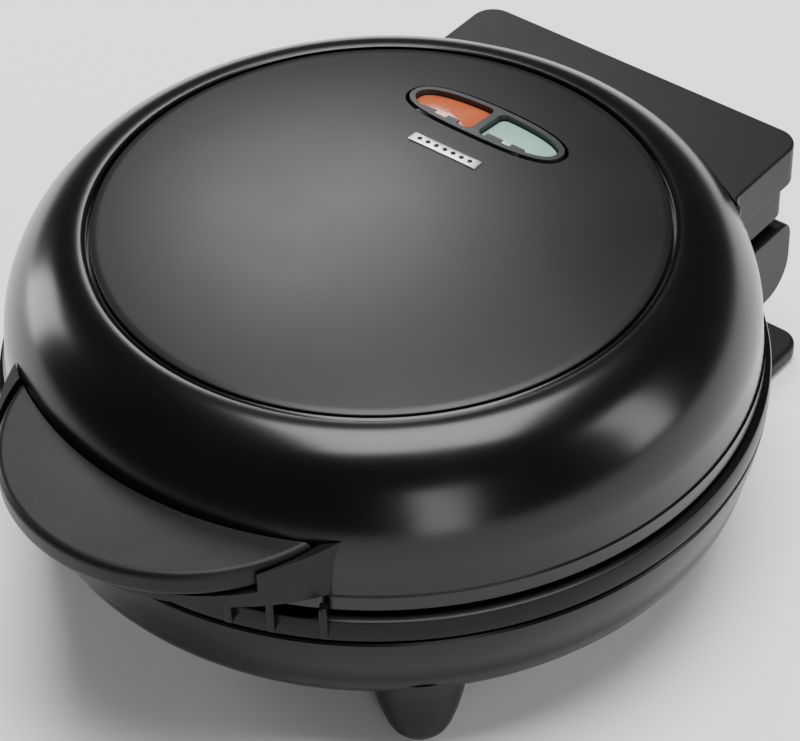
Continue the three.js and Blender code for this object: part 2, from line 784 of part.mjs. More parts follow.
// A nearly closed loop under the moulds, with two straight tails to the rear.
function heatingElement() {
  const height = -ringDepth - ringWall - touchGap - elementRadius;
  const open = radians(elementGapAngle);
  const loopSteps = 18;
  const points = [];
  for (let i = 0; i <= loopSteps; i += 1) {
    const turn = Math.PI / 2 + open + (i / loopSteps) * 2 * (Math.PI - open);
    points.push(new THREE.Vector3(elementCircle * Math.cos(turn), elementCircle * Math.sin(turn), height));
  }
  const first = points[0];
  const last = points.at(-1);
  points.unshift(new THREE.Vector3(first.x, first.y + elementTail, height));
  points.push(new THREE.Vector3(last.x, last.y + elementTail, height));
  const section = new THREE.Shape();
  section.absarc(0, 0, elementRadius, 0, 2 * Math.PI, false);
  const path = new THREE.CatmullRomCurve3(points, false, 'centripetal');
  const geometry = new THREE.ExtrudeGeometry(section, {
    steps: 2 * loopSteps,
    extrudePath: path,
    curveSegments: elementSides / 2,
  });
  return solidOf(geometry);
}

// A shallow pan behind the element, open round the screw bosses.
function reflector() {
  const rimHeight = -plateThickness - touchGap;
  const outer = reflectorRadius;
  const inner = outer - reflectorSheet;
  const pan = turned([
    [0, -reflectorDrop], [outer - reflectorSlope, -reflectorDrop], [outer, reflectorSlope - reflectorDrop],
    [outer, rimHeight], [inner, rimHeight], [inner, reflectorSlope - reflectorDrop + reflectorSheet / 2],
    [outer - reflectorSlope - reflectorSheet / 2, reflectorSheet - reflectorDrop],
    [0, reflectorSheet - reflectorDrop],
  ]);
  const holes = plateScrewPlaces().map(([x, y]) => post(x, y, -2 * reflectorDrop, 0, bossRadius + touchGap));
  return cut(pan, ...holes);
}

function thermostat() {
  const top = lowerFace - ringDepth - ringWall - touchGap;
  const bottom = lowerFace - reflectorDrop + reflectorSheet + touchGap;
  const body = post(0, ringMiddle, bottom, top, thermostatRadius);
  const tab = thermostatRadius + thermostatTab;
  const level = (top + bottom) / 2;
  const tabs = box(-tab, tab, ringMiddle - thermostatTabWidth / 2, ringMiddle + thermostatTabWidth / 2,
    level, level + thermostatTabThickness);
  return join(body, tabs);
}

function thermalFuse() {
  const level = lowerFace - reflectorDrop + reflectorSheet + touchGap + fuseRadius;
  return join(
    barX(fuseX - fuseLength / 2, fuseX + fuseLength / 2, fuseY, level, fuseRadius),
    barX(fuseX - fuseLeadLength / 2, fuseX + fuseLeadLength / 2, fuseY, level, fuseLeadRadius, leadSteps),
  );
}

// ---- base ----

const grooveTop = rimTop - rimBand;
const bandTop = grooveTop - grooveWidth;
const bandBottom = bandTop - bandHeight;
const bandRadius = rimRadius - bandSwell; // half-way down the lower band
const legY = housingRear - columnRadius - columnInset;

// The bowl's curve from the lower band round to its flat bottom.
function bowlCurve(inset) {
  const points = [];
  const outer = rimRadius - bandTaper - inset;
  const bottom = bowlBottom + inset;
  const rise = bandBottom - bottom;
  for (let i = 0; i <= bowlSteps; i += 1) {
    const turn = (i / bowlSteps) * (Math.PI / 2);
    points.push([outer - bowlCurveRun * (1 - Math.cos(turn)), bandBottom - rise * Math.sin(turn)]);
  }
  return points;
}

function bowlOuter() {
  return turned([
    [0, rimTop], [rimRadius - rimEdge, rimTop], [rimRadius, rimTop - rimEdge], [rimRadius, grooveTop],
    [rimRadius - grooveDepth, grooveTop], [rimRadius - grooveDepth, bandTop], [rimRadius - bandEdge, bandTop],
    [bandRadius, bandTop - bandHeight / 2], ...bowlCurve(0), [0, bowlBottom],
  ]);
}

function bowlInner() {
  return turned([
    [0, rimTop - wall], [rimRadius - grooveDepth - wall, rimTop - wall],
    [bandRadius - wall, bandTop - bandHeight / 2], ...bowlCurve(wall), [0, bowlBottom + wall],
  ]);
}

// The space that the bowl's outside fills, with the touching gap round it.
function bowlClear() {
  return turned([
    [0, rimTop + overcut], [rimRadius + touchGap, rimTop + overcut], [rimRadius + touchGap, bandTop],
    [bandRadius + touchGap, bandTop - bandHeight / 2], ...bowlCurve(-touchGap), [0, bowlBottom - touchGap],
  ]);
}

function earOutline() {
  return roundedOutline([[0, earBottom, 0], [0, earTop, 0], [earRear, earTop, earTopCorner],
    [earRear, earBottom, earBottomCorner]]);
}

function housingOutline(inset) {
  return roundedOutline([[0, housingBottom + inset, 0], [0, earTop - inset, 0],
    [housingRear - inset, earTop - inset, housingCorner - inset],
    [housingRear - inset, housingBottom + inset, housingCorner - inset]]);
}

function frontRibs() {
  return ribHalfAngles.flatMap((angle) => [-angle, angle]).map((angle) => {
    const rib = box(-ribWidth / 2, ribWidth / 2, -rimRadius - ribProud, -rimRadius + grooveDepth + wall / 2,
      ribBottom, ribTop);
    const aboveRim = box(-ribWidth, ribWidth, -rimRadius - touchGap, 0, rimTop - overcut, ribTop + overcut);
    return cut(rib, aboveRim).rotate([0, 0, angle]);
  });
}

function footPlaces() {
  return [-1, 1].map((side) => {
    const turn = -Math.PI / 2 + side * radians(frontFootAngle);
    return [frontFootRadius * Math.cos(turn), frontFootRadius * Math.sin(turn)];
  });
}

function columnPlaces() {
  return [-1, 1].map((side) => [side * columnX, legY]);
}

function baseShell() {
  const plateOpening = post(0, 0, rimTop - 2 * wall, rimTop + wall, lipRadius, lipRadius, largeSteps);
  let shell = cut(join(bowlOuter(), ...frontRibs()), bowlInner(), plateOpening);
  for (const [x, y] of plateScrewPlaces()) {
    const sleeve = post(x, y, bowlBottom + wall / 2, lowerBossEnd - touchGap, bossRadius);
    const bore = post(x, y, 0, lowerBossEnd, screwRadius + screwClearance);
    const sink = post(x, y, 0, bowlBottom + screwHeadHeight + overcut, screwHeadRadius + screwClearance);
    shell = cut(join(shell, sleeve), bore, sink);
  }
  for (const [x, y] of footPlaces()) {
    const sleeve = post(x, y, bowlBottom, footBossTop, bossRadius).intersect(bowlOuter());
    shell = cut(join(shell, sleeve), post(x, y, 0, footBossTop + overcut, screwRadius + screwClearance));
  }
  const wirePort = box(-wirePortHalfWidth, wirePortHalfWidth, bandRadius - bowlCurveRun, rimRadius,
    wirePortLow, wirePortHigh);
  return cut(shell, wirePort, ...blockScrewAngles.map(baseScrewBore));
}

// A tapered front foot that meets the bowl's curve.
function frontFoot([x, y]) {
  const cone = post(x, y, padHeight, footTopHeight, footTipRadius, footTopRadius, footSteps);
  const pocket = post(x, y, 0, padHeight + padPocket, footTipRadius - padInset);
  const boreBottom = footBossTop - footScrewBite - screwTip;
  return cut(cone, bowlClear(), pocket, post(x, y, boreBottom, footBossTop, screwRadius + screwClearance));
}

// The closed housing behind the bowl, with a hinge ear at each side joined to it by a web.
function rearHousing() {
  const ear = prismX(earOutline(), lugOuter + sideClearance, earOuter);
  const web = box(housingHalfWidth - wall, lugOuter + 2 * sideClearance, 0, hingeY - lugRadius - lugClearance,
    earBottom, earTop);
  const room = prismX(housingOutline(wall), -housingHalfWidth + wall, housingHalfWidth - wall);
  const pillars = [-1, 1].map((side) => screwPillar(side, 0, hingeY, housingScrewHeight - pillarHalfWidth,
    earTop - wall / 2));
  let housing = cut(prismX(housingOutline(0), -housingHalfWidth, housingHalfWidth), room);
  housing = join(housing, bothSides(ear), bothSides(web), ...pillars);
  for (const [x, y] of columnPlaces()) {
    housing = housing.add(post(x, y, housingBottom + wall / 2, housingBottom + standScrewBoss, bossRadius));
    const boreTop = housingBottom + standScrewBite + screwTip;
    housing = cut(housing, post(x, y, 0, boreTop, screwRadius + screwClearance));
  }
  const pinBore = barX(lugInner, earOuter - pinBlindWall, hingeY, hingeHeight, pinRadius + pinClearance);
  const gland = glandBar(glandNeck + touchGap, housingRear - 2 * wall, housingRear + wall);
  return cut(housing, bothSides(pinBore), bowlClear(), gland, ...blockScrewAngles.map(baseScrewBore));
}

function footPad([x, y]) {
  const radius = footTipRadius - padInset - touchGap;
  return post(x, y, 0, padHeight + padPocket - touchGap, radius);
}

// ---- hinge pins, gland and terminal block ----

function hingePin(side) {
  const end = earOuter - pinBlindWall - touchGap;
  const pin = join(
    barX(lugInner - touchGap - pinHead / 2, end, hingeY, hingeHeight, pinRadius),
    barX(lugInner - touchGap - pinHead / 2, lugInner - touchGap, hingeY, hingeHeight, pinHeadRadius),
  );
  return side < 0 ? mirrored(pin) : pin;
}

// A cylinder along Y through the housing's rear wall.
function glandBar(radius, from, to) {
  return post(0, 0, -to, -from, radius).rotate([90, 0, 0]).translate([glandX, 0, glandHeight]);
}

function cableGland() {
  const outside = housingRear + touchGap;
  const inside = housingRear - wall - touchGap;
  const body = join(
    glandBar(glandFlange, outside, outside + glandFlangeThickness),
    glandBar(glandNeck, inside - 1, outside + 1),
    glandBar(glandFlange - 1, inside - glandFlangeThickness, inside),
  );
  return cut(body, glandBar(glandBore, inside - 5, outside + 5));
}

function terminalBlock() {
  const bottom = bowlBottom + wall + touchGap;
  const top = bottom + terminalHeight;
  const left = terminalX - terminalWidth / 2;
  const front = terminalY - terminalDepth / 2;
  const block = box(left, left + terminalWidth, front, front + terminalDepth, bottom, top);
  const holes = terminalHoles.map((share) => post(left + share * terminalWidth, terminalY,
    bottom + terminalHoleFloor, top + overcut, terminalHoleRadius));
  return cut(block, ...holes);
}

// ---- rear stand ----

function standOutline() {
  return roundedOutline([[-standHalfWidth, standFront, standCorner], [standHalfWidth, standFront, standCorner],
    [standHalfWidth, standRear, standCorner], [-standHalfWidth, standRear, standCorner]]);
}

function rearStand() {
  let stand = prism(standOutline(), padHeight, standTop);
  for (const [x, y] of columnPlaces()) {
    const bore = post(x, y, 0, housingBottom, screwRadius + screwClearance);
    const sink = post(x, y, 0, padHeight + screwHeadHeight + overcut, screwHeadRadius + screwClearance);
    stand = cut(stand, bore, sink);
  }
  for (const side of [-1, 1]) {
    const pocketTop = padHeight + padPocket;
    stand = cut(stand, post(side * standPadX, standRear - standPadInset, 0, pocketTop, standPadRadius));
  }
  return stand;
}

// A column that holds the stand off the housing, with room for the cord to wrap round both.
function standColumn([x, y]) {
  const column = post(x, y, standTop + touchGap, housingBottom - touchGap, columnRadius);
  return cut(column, post(x, y, 0, housingBottom, screwRadius + screwClearance));
}

function standPad(side) {
  return post(side * standPadX, standRear - standPadInset, 0, padHeight + padPocket - touchGap,
    standPadRadius - touchGap);
}

// ---- assembly ----
const finishes = {
  glossBlack: { color: 0x0b0b0d, roughness: 0.12, metalness: 0 },
  satinGrey: { color: 0x26272a, roughness: 0.42, metalness: 0.1 },
  matteBlack: { color: 0x17181a, roughness: 0.6, metalness: 0 },
  bezelGrey: { color: 0x3a3c3f, roughness: 0.35, metalness: 0.2 },
  redLens: { color: 0xc8431f, roughness: 0.15, metalness: 0 },
  greenLens: { color: 0xbfe0d0, roughness: 0.15, metalness: 0 },
  silver: { color: 0xa9abae, roughness: 0.3, metalness: 0.9 },
  castPlate: { color: 0x2a2a2c, roughness: 0.38, metalness: 0.4 },
  steel: { color: 0x9b9b9d, roughness: 0.3, metalness: 1 },
  reflectorSheet: { color: 0xc4c6c9, roughness: 0.25, metalness: 1 },
  glass: { color: 0xe8dccb, roughness: 0.1, metalness: 0 },
  whitePlastic: { color: 0xd8d4c8, roughness: 0.5, metalness: 0 },
  rubber: { color: 0x1b1b1b, roughness: 0.85, metalness: 0 },
};

const donutMaker = new THREE.Group();

function place(name, solid, finish) {
  const mesh = new THREE.Mesh(geometryOf(solid), new THREE.MeshStandardMaterial(finishes[finish]));
  mesh.name = name;
  donutMaker.add(mesh);
}

const sides = [['left', -1], ['right', 1]];

place('lid_shell', lidShell(), 'glossBlack');
place('hinge_block', hingeBlock(), 'matteBlack');
place('top_panel', topPanel(), 'satinGrey');
place('indicator_bezel', bezel(), 'bezelGrey');
place('red_lens', lens(-1), 'redLens');
place('green_lens', lens(1), 'greenLens');
place('badge_strip', badge(), 'silver');
place('lamp_holder', lampHolder(), 'whitePlastic');
place('power_lamp', lamp(-1), 'glass');
place('ready_lamp', lamp(1), 'glass');
place('handle_cap', handleCap(), 'matteBlack');
place('handle_skirt', handleSkirt(), 'matteBlack');
for (const [name, side] of sides) {
  place(`handle_screw_${name}`, handleScrew(side), 'steel');
  place(`skirt_screw_${name}`, lidScrew(side * wallScrewAngle), 'steel');
  place(`block_screw_${name}`, lidScrew(180 - side * wallScrewAngle), 'steel');
  place(`housing_screw_${name}`, baseScrew(180 - side * wallScrewAngle), 'steel');
  place(`hinge_pin_${name}`, hingePin(side), 'steel');
}
place('upper_plate', raised(cookingPlate()), 'castPlate');
place('upper_element', raised(heatingElement().mirror([0, 1, 0])), 'steel');
place('upper_reflector', raised(reflector()), 'reflectorSheet');
place('base_shell', baseShell(), 'matteBlack');
place('lower_plate', lowered(cookingPlate()), 'castPlate');
place('lower_element', lowered(heatingElement()), 'steel');
place('lower_reflector', lowered(reflector()), 'reflectorSheet');
plateScrewPlaces().forEach(([x, y], i) => {
  const upperHead = screwSeat + screwHeadHeight + touchGap;
  const lowerHead = bowlBottom + overcut - touchGap;
  place(`upper_plate_screw_${i + 1}`, screw(x, -y, upperHead, upperBossEnd - screwBite, true), 'steel');
  place(`lower_plate_screw_${i + 1}`, screw(x, y, lowerHead, lowerBossEnd + screwBite), 'steel');
});
place('thermostat', thermostat(), 'whitePlastic');
place('thermal_fuse', thermalFuse(), 'silver');
place('terminal_block', terminalBlock(), 'whitePlastic');
place('cable_gland', cableGland(), 'rubber');
place('rear_housing', rearHousing(), 'matteBlack');
place('rear_stand', rearStand(), 'matteBlack');
footPlaces().forEach(([x, y], i) => {
  const head = footBossTop + touchGap + screwHeadHeight;
  place(`front_foot_${sides[i][0]}`, frontFoot([x, y]), 'matteBlack');
  place(`foot_screw_${sides[i][0]}`, screw(x, y, head, footBossTop - footScrewBite, true), 'steel');
  place(`foot_pad_${sides[i][0]}`, footPad([x, y]), 'rubber');
});
columnPlaces().forEach(([x, y], i) => {
  const head = padHeight + overcut - touchGap;
  place(`stand_column_${sides[i][0]}`, standColumn([x, y]), 'matteBlack');
  place(`stand_screw_${sides[i][0]}`, screw(x, y, head, housingBottom + standScrewBite), 'steel');
  place(`stand_pad_${sides[i][0]}`, standPad(sides[i][1]), 'rubber');
});

donutMaker.position.y = (frontReach - rearReach) / 2;

export default donutMaker;
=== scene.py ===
import json
import logging
import math
from dataclasses import dataclass, field
from enum import Enum
from typing import Iterable, Sequence

import bmesh
import bpy
from mathutils import Matrix, Vector


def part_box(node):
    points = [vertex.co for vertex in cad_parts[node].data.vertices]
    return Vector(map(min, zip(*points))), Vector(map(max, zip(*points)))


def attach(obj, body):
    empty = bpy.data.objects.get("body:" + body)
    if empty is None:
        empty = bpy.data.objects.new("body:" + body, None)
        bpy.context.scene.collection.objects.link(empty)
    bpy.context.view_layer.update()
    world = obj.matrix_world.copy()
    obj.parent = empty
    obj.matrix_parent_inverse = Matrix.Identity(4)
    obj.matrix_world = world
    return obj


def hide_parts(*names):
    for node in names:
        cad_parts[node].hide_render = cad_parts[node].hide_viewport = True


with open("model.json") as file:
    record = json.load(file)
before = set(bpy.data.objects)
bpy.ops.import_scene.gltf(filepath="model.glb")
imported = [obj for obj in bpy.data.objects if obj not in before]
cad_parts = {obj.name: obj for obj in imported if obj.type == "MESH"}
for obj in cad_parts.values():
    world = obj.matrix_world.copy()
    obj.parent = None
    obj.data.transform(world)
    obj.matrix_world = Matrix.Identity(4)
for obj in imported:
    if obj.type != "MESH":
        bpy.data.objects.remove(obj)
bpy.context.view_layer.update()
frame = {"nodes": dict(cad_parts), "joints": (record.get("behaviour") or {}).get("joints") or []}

log = logging.getLogger("donut_maker")

Point = tuple[float, float, float]
Flat = tuple[float, float]

MM = 0.001
FULL_TURN = 2 * math.pi
X, Y, Z = range(3)
SIDES = {"left": -1, "right": 1}
FINEST_STEPS = 256
FINE_STEPS = 192
SMALL_STEPS = 40
SHARP_ANGLE = math.radians(32)
MERGE_DISTANCE = 1e-6  # points of a turned piece nearer than this are one, in metres
WELD_DISTANCE = 2e-7  # points of a mesh nearer than this are one, in metres
SLIVER = 1e-7  # edges shorter than this are dissolved, in metres
OVERCUT = 1.0  # how far a cutting tool runs past the face it opens, in millimetres
BEYOND = 200.0  # farther out than any piece, in millimetres
PANEL_LOW, PANEL_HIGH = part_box("top_panel")
AXIS = Vector((0, (PANEL_LOW.y + PANEL_HIGH.y) / 2, 0))


def from_axis(place: Vector, way: int) -> float:
    """Turns one coordinate of a place in metres into millimetres from the lid's axis."""
    return round((place - AXIS)[way] / MM, 3)


def lowest(node: str, way: int) -> float:
    """Returns a CAD node's lowest place along X, Y or Z, in millimetres from the lid's axis."""
    return from_axis(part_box(node)[0], way)


def highest(node: str, way: int) -> float:
    """Returns a CAD node's highest place along X, Y or Z, in millimetres from the lid's axis."""
    return from_axis(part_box(node)[1], way)


def hinge_line() -> Flat:
    """Returns the hinge's place along Y and Z, in millimetres from the lid's axis."""
    place = Vector(frame["joints"][0]["pos_m"])
    return (from_axis(place, Y), from_axis(place, Z))


def both(kind: str) -> list[str]:
    """Returns the names of a left and a right CAD node."""
    return [f"{kind}_{side}" for side in SIDES]


# ---------------------------------------------------------------- node trees


class TreeKind(Enum):
    """The two sorts of node tree that the scene builds."""

    SHADER = "ShaderNodeTree"
    GEOMETRY = "GeometryNodeTree"


class Tree:
    """A node group with named sockets, and short ways to add and link its nodes."""

    def __init__(self, name: str, kind: TreeKind) -> None:
        """Starts an empty group.

        Args:
            name: The group's name.
            kind: Whether it is a shader or a geometry tree.
        """
        self.group = bpy.data.node_groups.new(name, kind.value)
        self.inputs = self.node("NodeGroupInput")
        self.outputs = self.node("NodeGroupOutput")

    def node(self, kind: str, settings: dict[str, object] | None = None, **values: object) -> bpy.types.Node:
        """Adds a node and sets its inputs and properties.

        Args:
            kind: The node's type name.
            settings: Values to set on its inputs, by name.
            values: Properties to set, by name.

        Returns:
            The new node.
        """
        made = self.group.nodes.new(kind)
        for name, value in values.items():
            setattr(made, name, value)
        for name, value in (settings or {}).items():
            made.inputs[name].default_value = value
        return made

    def socket(self, name: str, kind: str, default: object = None, out: bool = False) -> None:
        """Adds a named socket to the group.

        Args:
            name: The socket's name.
            kind: The socket's type name.
            default: Its starting value, if it has one.
            out: True for an output.
        """
        side = "OUTPUT" if out else "INPUT"
        made = self.group.interface.new_socket(name=name, in_out=side, socket_type=kind)
        if default is not None:
            made.default_value = default

    def link(self, source: bpy.types.NodeSocket, target: bpy.types.NodeSocket) -> None:
        """Joins an output socket to an input socket."""
        self.group.links.new(source, target)

    def feed(self, node: bpy.types.Node, **sockets: str) -> None:
        """Joins the group's own inputs to a node's inputs, each named for the one that it feeds.

        Args:
            node: The node to feed.
            sockets: The node's inputs, by the names of the group's inputs.
        """
        for own, target in sockets.items():
            self.link(self.inputs.outputs[own], node.inputs[target])

    def chain(self, *nodes: bpy.types.Node) -> None:
        """Joins each node's first output to the next node's first input."""
        for source, target in zip(nodes, nodes[1:]):
            self.link(source.outputs[0], target.inputs[0])

    def maths(self, operation: str, first: object, second: object) -> bpy.types.NodeSocket:
        """Adds a two-input maths node.

        Args:
            operation: The node's operation.
            first: A socket or a number.
            second: A socket or a number.

        Returns:
            The node's output.
        """
        made = self.node("ShaderNodeMath", operation=operation)
        for socket, value in zip(made.inputs, (first, second)):
            if isinstance(value, bpy.types.NodeSocket):
                self.link(value, socket)
            else:
                socket.default_value = value
        return made.outputs["Value"]

    def identifier(self, name: str) -> str:
        """Returns the identifier of the input socket with this name."""
        items = self.group.interface.items_tree
        return next(i.identifier for i in items if i.name == name and i.in_out == "INPUT")


def geometry_tree(name: str, **inputs: str) -> Tree:
    """Starts a tree that takes geometry and a material, and puts out geometry.

    Args:
        name: The tree's name.
        inputs: Its other inputs, each with its kind of socket.

    Returns:
        The tree, with its sockets.
    """
    tree = Tree(name, TreeKind.GEOMETRY)
    tree.socket("Geometry", "NodeSocketGeometry")
    for socket, kind in inputs.items():
        tree.socket(socket, f"NodeSocket{kind}")
    tree.socket("Material", "NodeSocketMaterial")
    tree.socket("Geometry", "NodeSocketGeometry", out=True)
    return tree


def put_out(tree: Tree, *nodes: bpy.types.Node) -> Tree:
    """Joins the last nodes of a geometry tree to its output, painted with its material.

    Args:
        tree: The tree.
        nodes: The nodes before the painting, in order.

    Returns:
        The same tree.
    """
    paint = tree.node("GeometryNodeSetMaterial")
    tree.chain(*nodes, tree.node("GeometryNodeRealizeInstances"), paint, tree.outputs)
    tree.feed(paint, Material="Material")
    return tree


def turning_tree() -> Tree:
    """Builds the tree that turns a profile about an upright axis.

    Returns:
        A geometry tree with the inputs Steps, Axis and Material.
    """
    path_radius = 0.001
    tree = geometry_tree("turned about an axis", Steps="Int", Axis="Vector")
    outline = tree.node("GeometryNodeMeshToCurve")
    lay = tree.node("GeometryNodeTransform",
                    {"Translation": (-path_radius, 0, 0), "Rotation": (math.pi / 2, 0, 0)})
    path = tree.node("GeometryNodeCurvePrimitiveCircle", {"Radius": path_radius})
    sweep = tree.node("GeometryNodeCurveToMesh")
    weld = tree.node("GeometryNodeMergeByDistance", {"Distance": MERGE_DISTANCE})
    move = tree.node("GeometryNodeTransform")
    tree.chain(tree.inputs, outline, lay)
    tree.feed(path, Steps="Resolution")
    tree.link(lay.outputs["Geometry"], sweep.inputs["Profile Curve"])
    tree.feed(move, Axis="Translation")
    return put_out(tree, path, sweep, weld, move)


def copying_tree() -> Tree:
    """Builds the tree that puts copies of a piece on points.

    Each point's turn attribute turns its copy about the upright axis.

    Returns:
        A geometry tree with the inputs Piece and Material.
    """
    tree = geometry_tree("copies on points", Piece="Object")
    piece = tree.node("GeometryNodeObjectInfo")
    turn = tree.node("GeometryNodeInputNamedAttribute", {"Name": "turn"}, data_type="FLOAT")
    upright = tree.node("ShaderNodeCombineXYZ")
    rotation = tree.node("FunctionNodeEulerToRotation")
    place = tree.node("GeometryNodeInstanceOnPoints")
    tree.feed(place, Geometry="Points")
    tree.feed(piece, Piece="Object")
    tree.link(piece.outputs["Geometry"], place.inputs["Instance"])
    tree.link(turn.outputs["Attribute"], upright.inputs["Z"])
    tree.chain(upright, rotation)
    tree.link(rotation.outputs["Rotation"], place.inputs["Rotation"])
    return put_out(tree, place)


def shader_group(name: str, outputs: Sequence[str], **inputs: float) -> Tree:
    """Starts a shader group that takes a Vector and some numbers.

    Args:
        name: The group's name.
        outputs: The names of its outputs.
        inputs: Its numbers, each with its usual value.

    Returns:
        The tree, with its sockets.
    """
    tree = Tree(name, TreeKind.SHADER)
    tree.socket("Vector", "NodeSocketVector")
    for socket, value in inputs.items():
        tree.socket(socket, "NodeSocketFloat", value)
    for socket in outputs:
        tree.socket(socket, "NodeSocketFloat", out=True)
    return tree


def grain_group() -> bpy.types.NodeTree:
    """Builds the shared fine moulded grain.

    Returns:
        A group that puts out a Height that varies over the surface.
    """
    tree = shader_group("moulded grain", ["Height"], Scale=1500.0, Depth=1.0)
    noise = tree.node("ShaderNodeTexNoise", {"Detail": 3.0, "Roughness": 0.6})
    cells = tree.node("ShaderNodeTexVoronoi")
    for texture in (noise, cells):
        tree.feed(texture, Vector="Vector", Scale="Scale")
    mixed = tree.maths("ADD", noise.outputs["Fac"], cells.outputs["Distance"])
    deep = tree.maths("MULTIPLY", mixed, tree.inputs.outputs["Depth"])
    tree.link(deep, tree.outputs.inputs["Height"])
    return tree.group


def marks_group() -> bpy.types.NodeTree:
    """Builds the shared handling marks.

    Returns:
        A group that puts out a Roughness that drifts between two values.
    """
    tree = shader_group("handling marks", ["Roughness"], Scale=22.0, Low=0.2, High=0.3)
    broad = tree.node("ShaderNodeTexNoise", {"Detail": 4.0, "Distortion": 0.6})
    tree.feed(broad, Vector="Vector", Scale="Scale")
    spread = tree.node("ShaderNodeMapRange", {"From Min": 0.35, "From Max": 0.7})
    tree.link(broad.outputs["Fac"], spread.inputs["Value"])
    tree.feed(spread, Low="To Min", High="To Max")
    tree.link(spread.outputs["Result"], tree.outputs.inputs["Roughness"])
    return tree.group


def dust_group() -> bpy.types.NodeTree:
    """Builds the shared settled dust.

    Returns:
        A group that puts out a Mask of fine specks on faces that look up.
    """
    tree = shader_group("settled dust", ["Mask"], Scale=700.0, Amount=0.3)
    specks = tree.node("ShaderNodeTexNoise", {"Detail": 5.0})
    tree.feed(specks, Vector="Vector", Scale="Scale")
    fine = tree.node("ShaderNodeMapRange", {"From Min": 0.62, "From Max": 0.74})
    tree.link(specks.outputs["Fac"], fine.inputs["Value"])
    shape = tree.node("ShaderNodeNewGeometry")
    parts = tree.node("ShaderNodeSeparateXYZ")
    tree.link(shape.outputs["Normal"], parts.inputs["Vector"])
    upward = tree.maths("MAXIMUM", parts.outputs["Z"], 0.0)
    settled = tree.maths("MULTIPLY", upward, fine.outputs["Result"])
    amount = tree.maths("MULTIPLY", settled, tree.inputs.outputs["Amount"])
    tree.link(amount, tree.outputs.inputs["Mask"])
    return tree.group


def brushed_group() -> bpy.types.NodeTree:
    """Builds the shared brushed lines.

    Returns:
        A group that puts out a Height and a Tone, both drawn out along X.
    """
    tree = shader_group("brushed lines", ["Height", "Tone"], Scale=900.0, Depth=1.0)
    stretch = tree.node("ShaderNodeMapping", {"Scale": (0.03, 1.0, 1.0)})
    lines = tree.node("ShaderNodeTexNoise", {"Detail": 4.0})
    tree.feed(stretch, Vector="Vector")
    tree.feed(lines, Scale="Scale")
    tree.link(stretch.outputs["Vector"], lines.inputs["Vector"])
    deep = tree.maths("MULTIPLY", lines.outputs["Fac"], tree.inputs.outputs["Depth"])
    tree.link(deep, tree.outputs.inputs["Height"])
    tree.link(lines.outputs["Fac"], tree.outputs.inputs["Tone"])
    return tree.group


# ------------------------------------------------------------------ finishes


class Texture(Enum):
    """What a finish's surface is covered with."""

    GRAIN = "grain"
    BRUSHED = "brushed"


@dataclass(frozen=True)
class Finish:
    """One finish: its colours, gloss, surface texture and any painted glow."""

    slot: str
    colour: tuple[float, float, float]
    drift: tuple[float, float, float]
    gloss: tuple[float, float]
    metallic: float = 0.0
    texture: Texture = Texture.GRAIN
    texture_scale: float = 1600.0
    bump: float = 0.02
    bump_depth: float = 0.05
    marks_scale: float = 22.0
    dust: float = 0.0
    coat: float = 0.0
    coat_roughness: float = 0.05
    transmission: float = 0.0
    specular: float = 0.5
    # painted glow: emission in the finish's own colour, light that no lamp gives
    painted_glow: float = 0.0
    dust_colour: tuple[float, float, float] = (0.35, 0.34, 0.32)

    def build(self, groups: dict[str, bpy.types.NodeTree]) -> bpy.types.Material:
        """Makes this finish's material from the shared groups.

        Args:
            groups: The shader groups, by short name.

        Returns:
            The new material.
        """
        material = bpy.data.materials.new(self.slot)
        material.use_nodes = True
        nodes = material.node_tree.nodes
        links = material.node_tree.links
        shader = nodes["Principled BSDF"]
        place = nodes.new("ShaderNodeTexCoord").outputs["Object"]

        def shared(name: str, **values: float) -> bpy.types.Node:
            """Places a shared group on the object's coordinates.

            Args:
                name: The group's short name.
                values: The group's own values, by socket name.

            Returns:
                The group's node.
            """
            made = nodes.new("ShaderNodeGroup")
            made.node_tree = groups[name]
            links.new(place, made.inputs["Vector"])
            for key, value in values.items():
                made.inputs[key].default_value = value
            return made

        marks = shared("marks", Scale=self.marks_scale, Low=self.gloss[0], High=self.gloss[1])
        links.new(marks.outputs["Roughness"], shader.inputs["Roughness"])
        surface = shared(self.texture.value, Scale=self.texture_scale, Depth=self.bump_depth)
        bump = nodes.new("ShaderNodeBump")
        bump.inputs["Strength"].default_value = self.bump
        bump.inputs["Distance"].default_value = MM
        links.new(surface.outputs["Height"], bump.inputs["Height"])
        links.new(bump.outputs["Normal"], shader.inputs["Normal"])
        tone = nodes.new("ShaderNodeMix")
        tone.data_type = "RGBA"
        tone.inputs["A"].default_value = (*self.colour, 1)
        tone.inputs["B"].default_value = (*self.drift, 1)
        patches = nodes.new("ShaderNodeTexNoise")
        patches.inputs["Scale"].default_value = self.marks_scale * 2
        links.new(place, patches.inputs["Vector"])
        tone_source = surface.outputs["Tone"] if self.texture is Texture.BRUSHED else patches.outputs["Fac"]
        links.new(tone_source, tone.inputs["Factor"])
        colour = tone.outputs["Result"]
        if self.dust:
            dust = shared("dust", Amount=self.dust)
            grey = nodes.new("ShaderNodeMix")
            grey.data_type = "RGBA"
            grey.inputs["B"].default_value = (*self.dust_colour, 1)
            links.new(colour, grey.inputs["A"])
            links.new(dust.outputs["Mask"], grey.inputs["Factor"])
            colour = grey.outputs["Result"]
        links.new(colour, shader.inputs["Base Color"])
        plain = {"Metallic": self.metallic, "Coat Weight": self.coat, "Coat Roughness": self.coat_roughness,
                 "Transmission Weight": self.transmission, "Specular IOR Level": self.specular}
        for name, value in plain.items():
            shader.inputs[name].default_value = value
        # Painted glow: the colour is given off as emission, so the piece shines with no lamp behind it.
        if self.painted_glow:
            links.new(colour, shader.inputs["Emission Color"])
            shader.inputs["Emission Strength"].default_value = self.painted_glow
        material.diffuse_color = (*self.colour, 1)
        return material


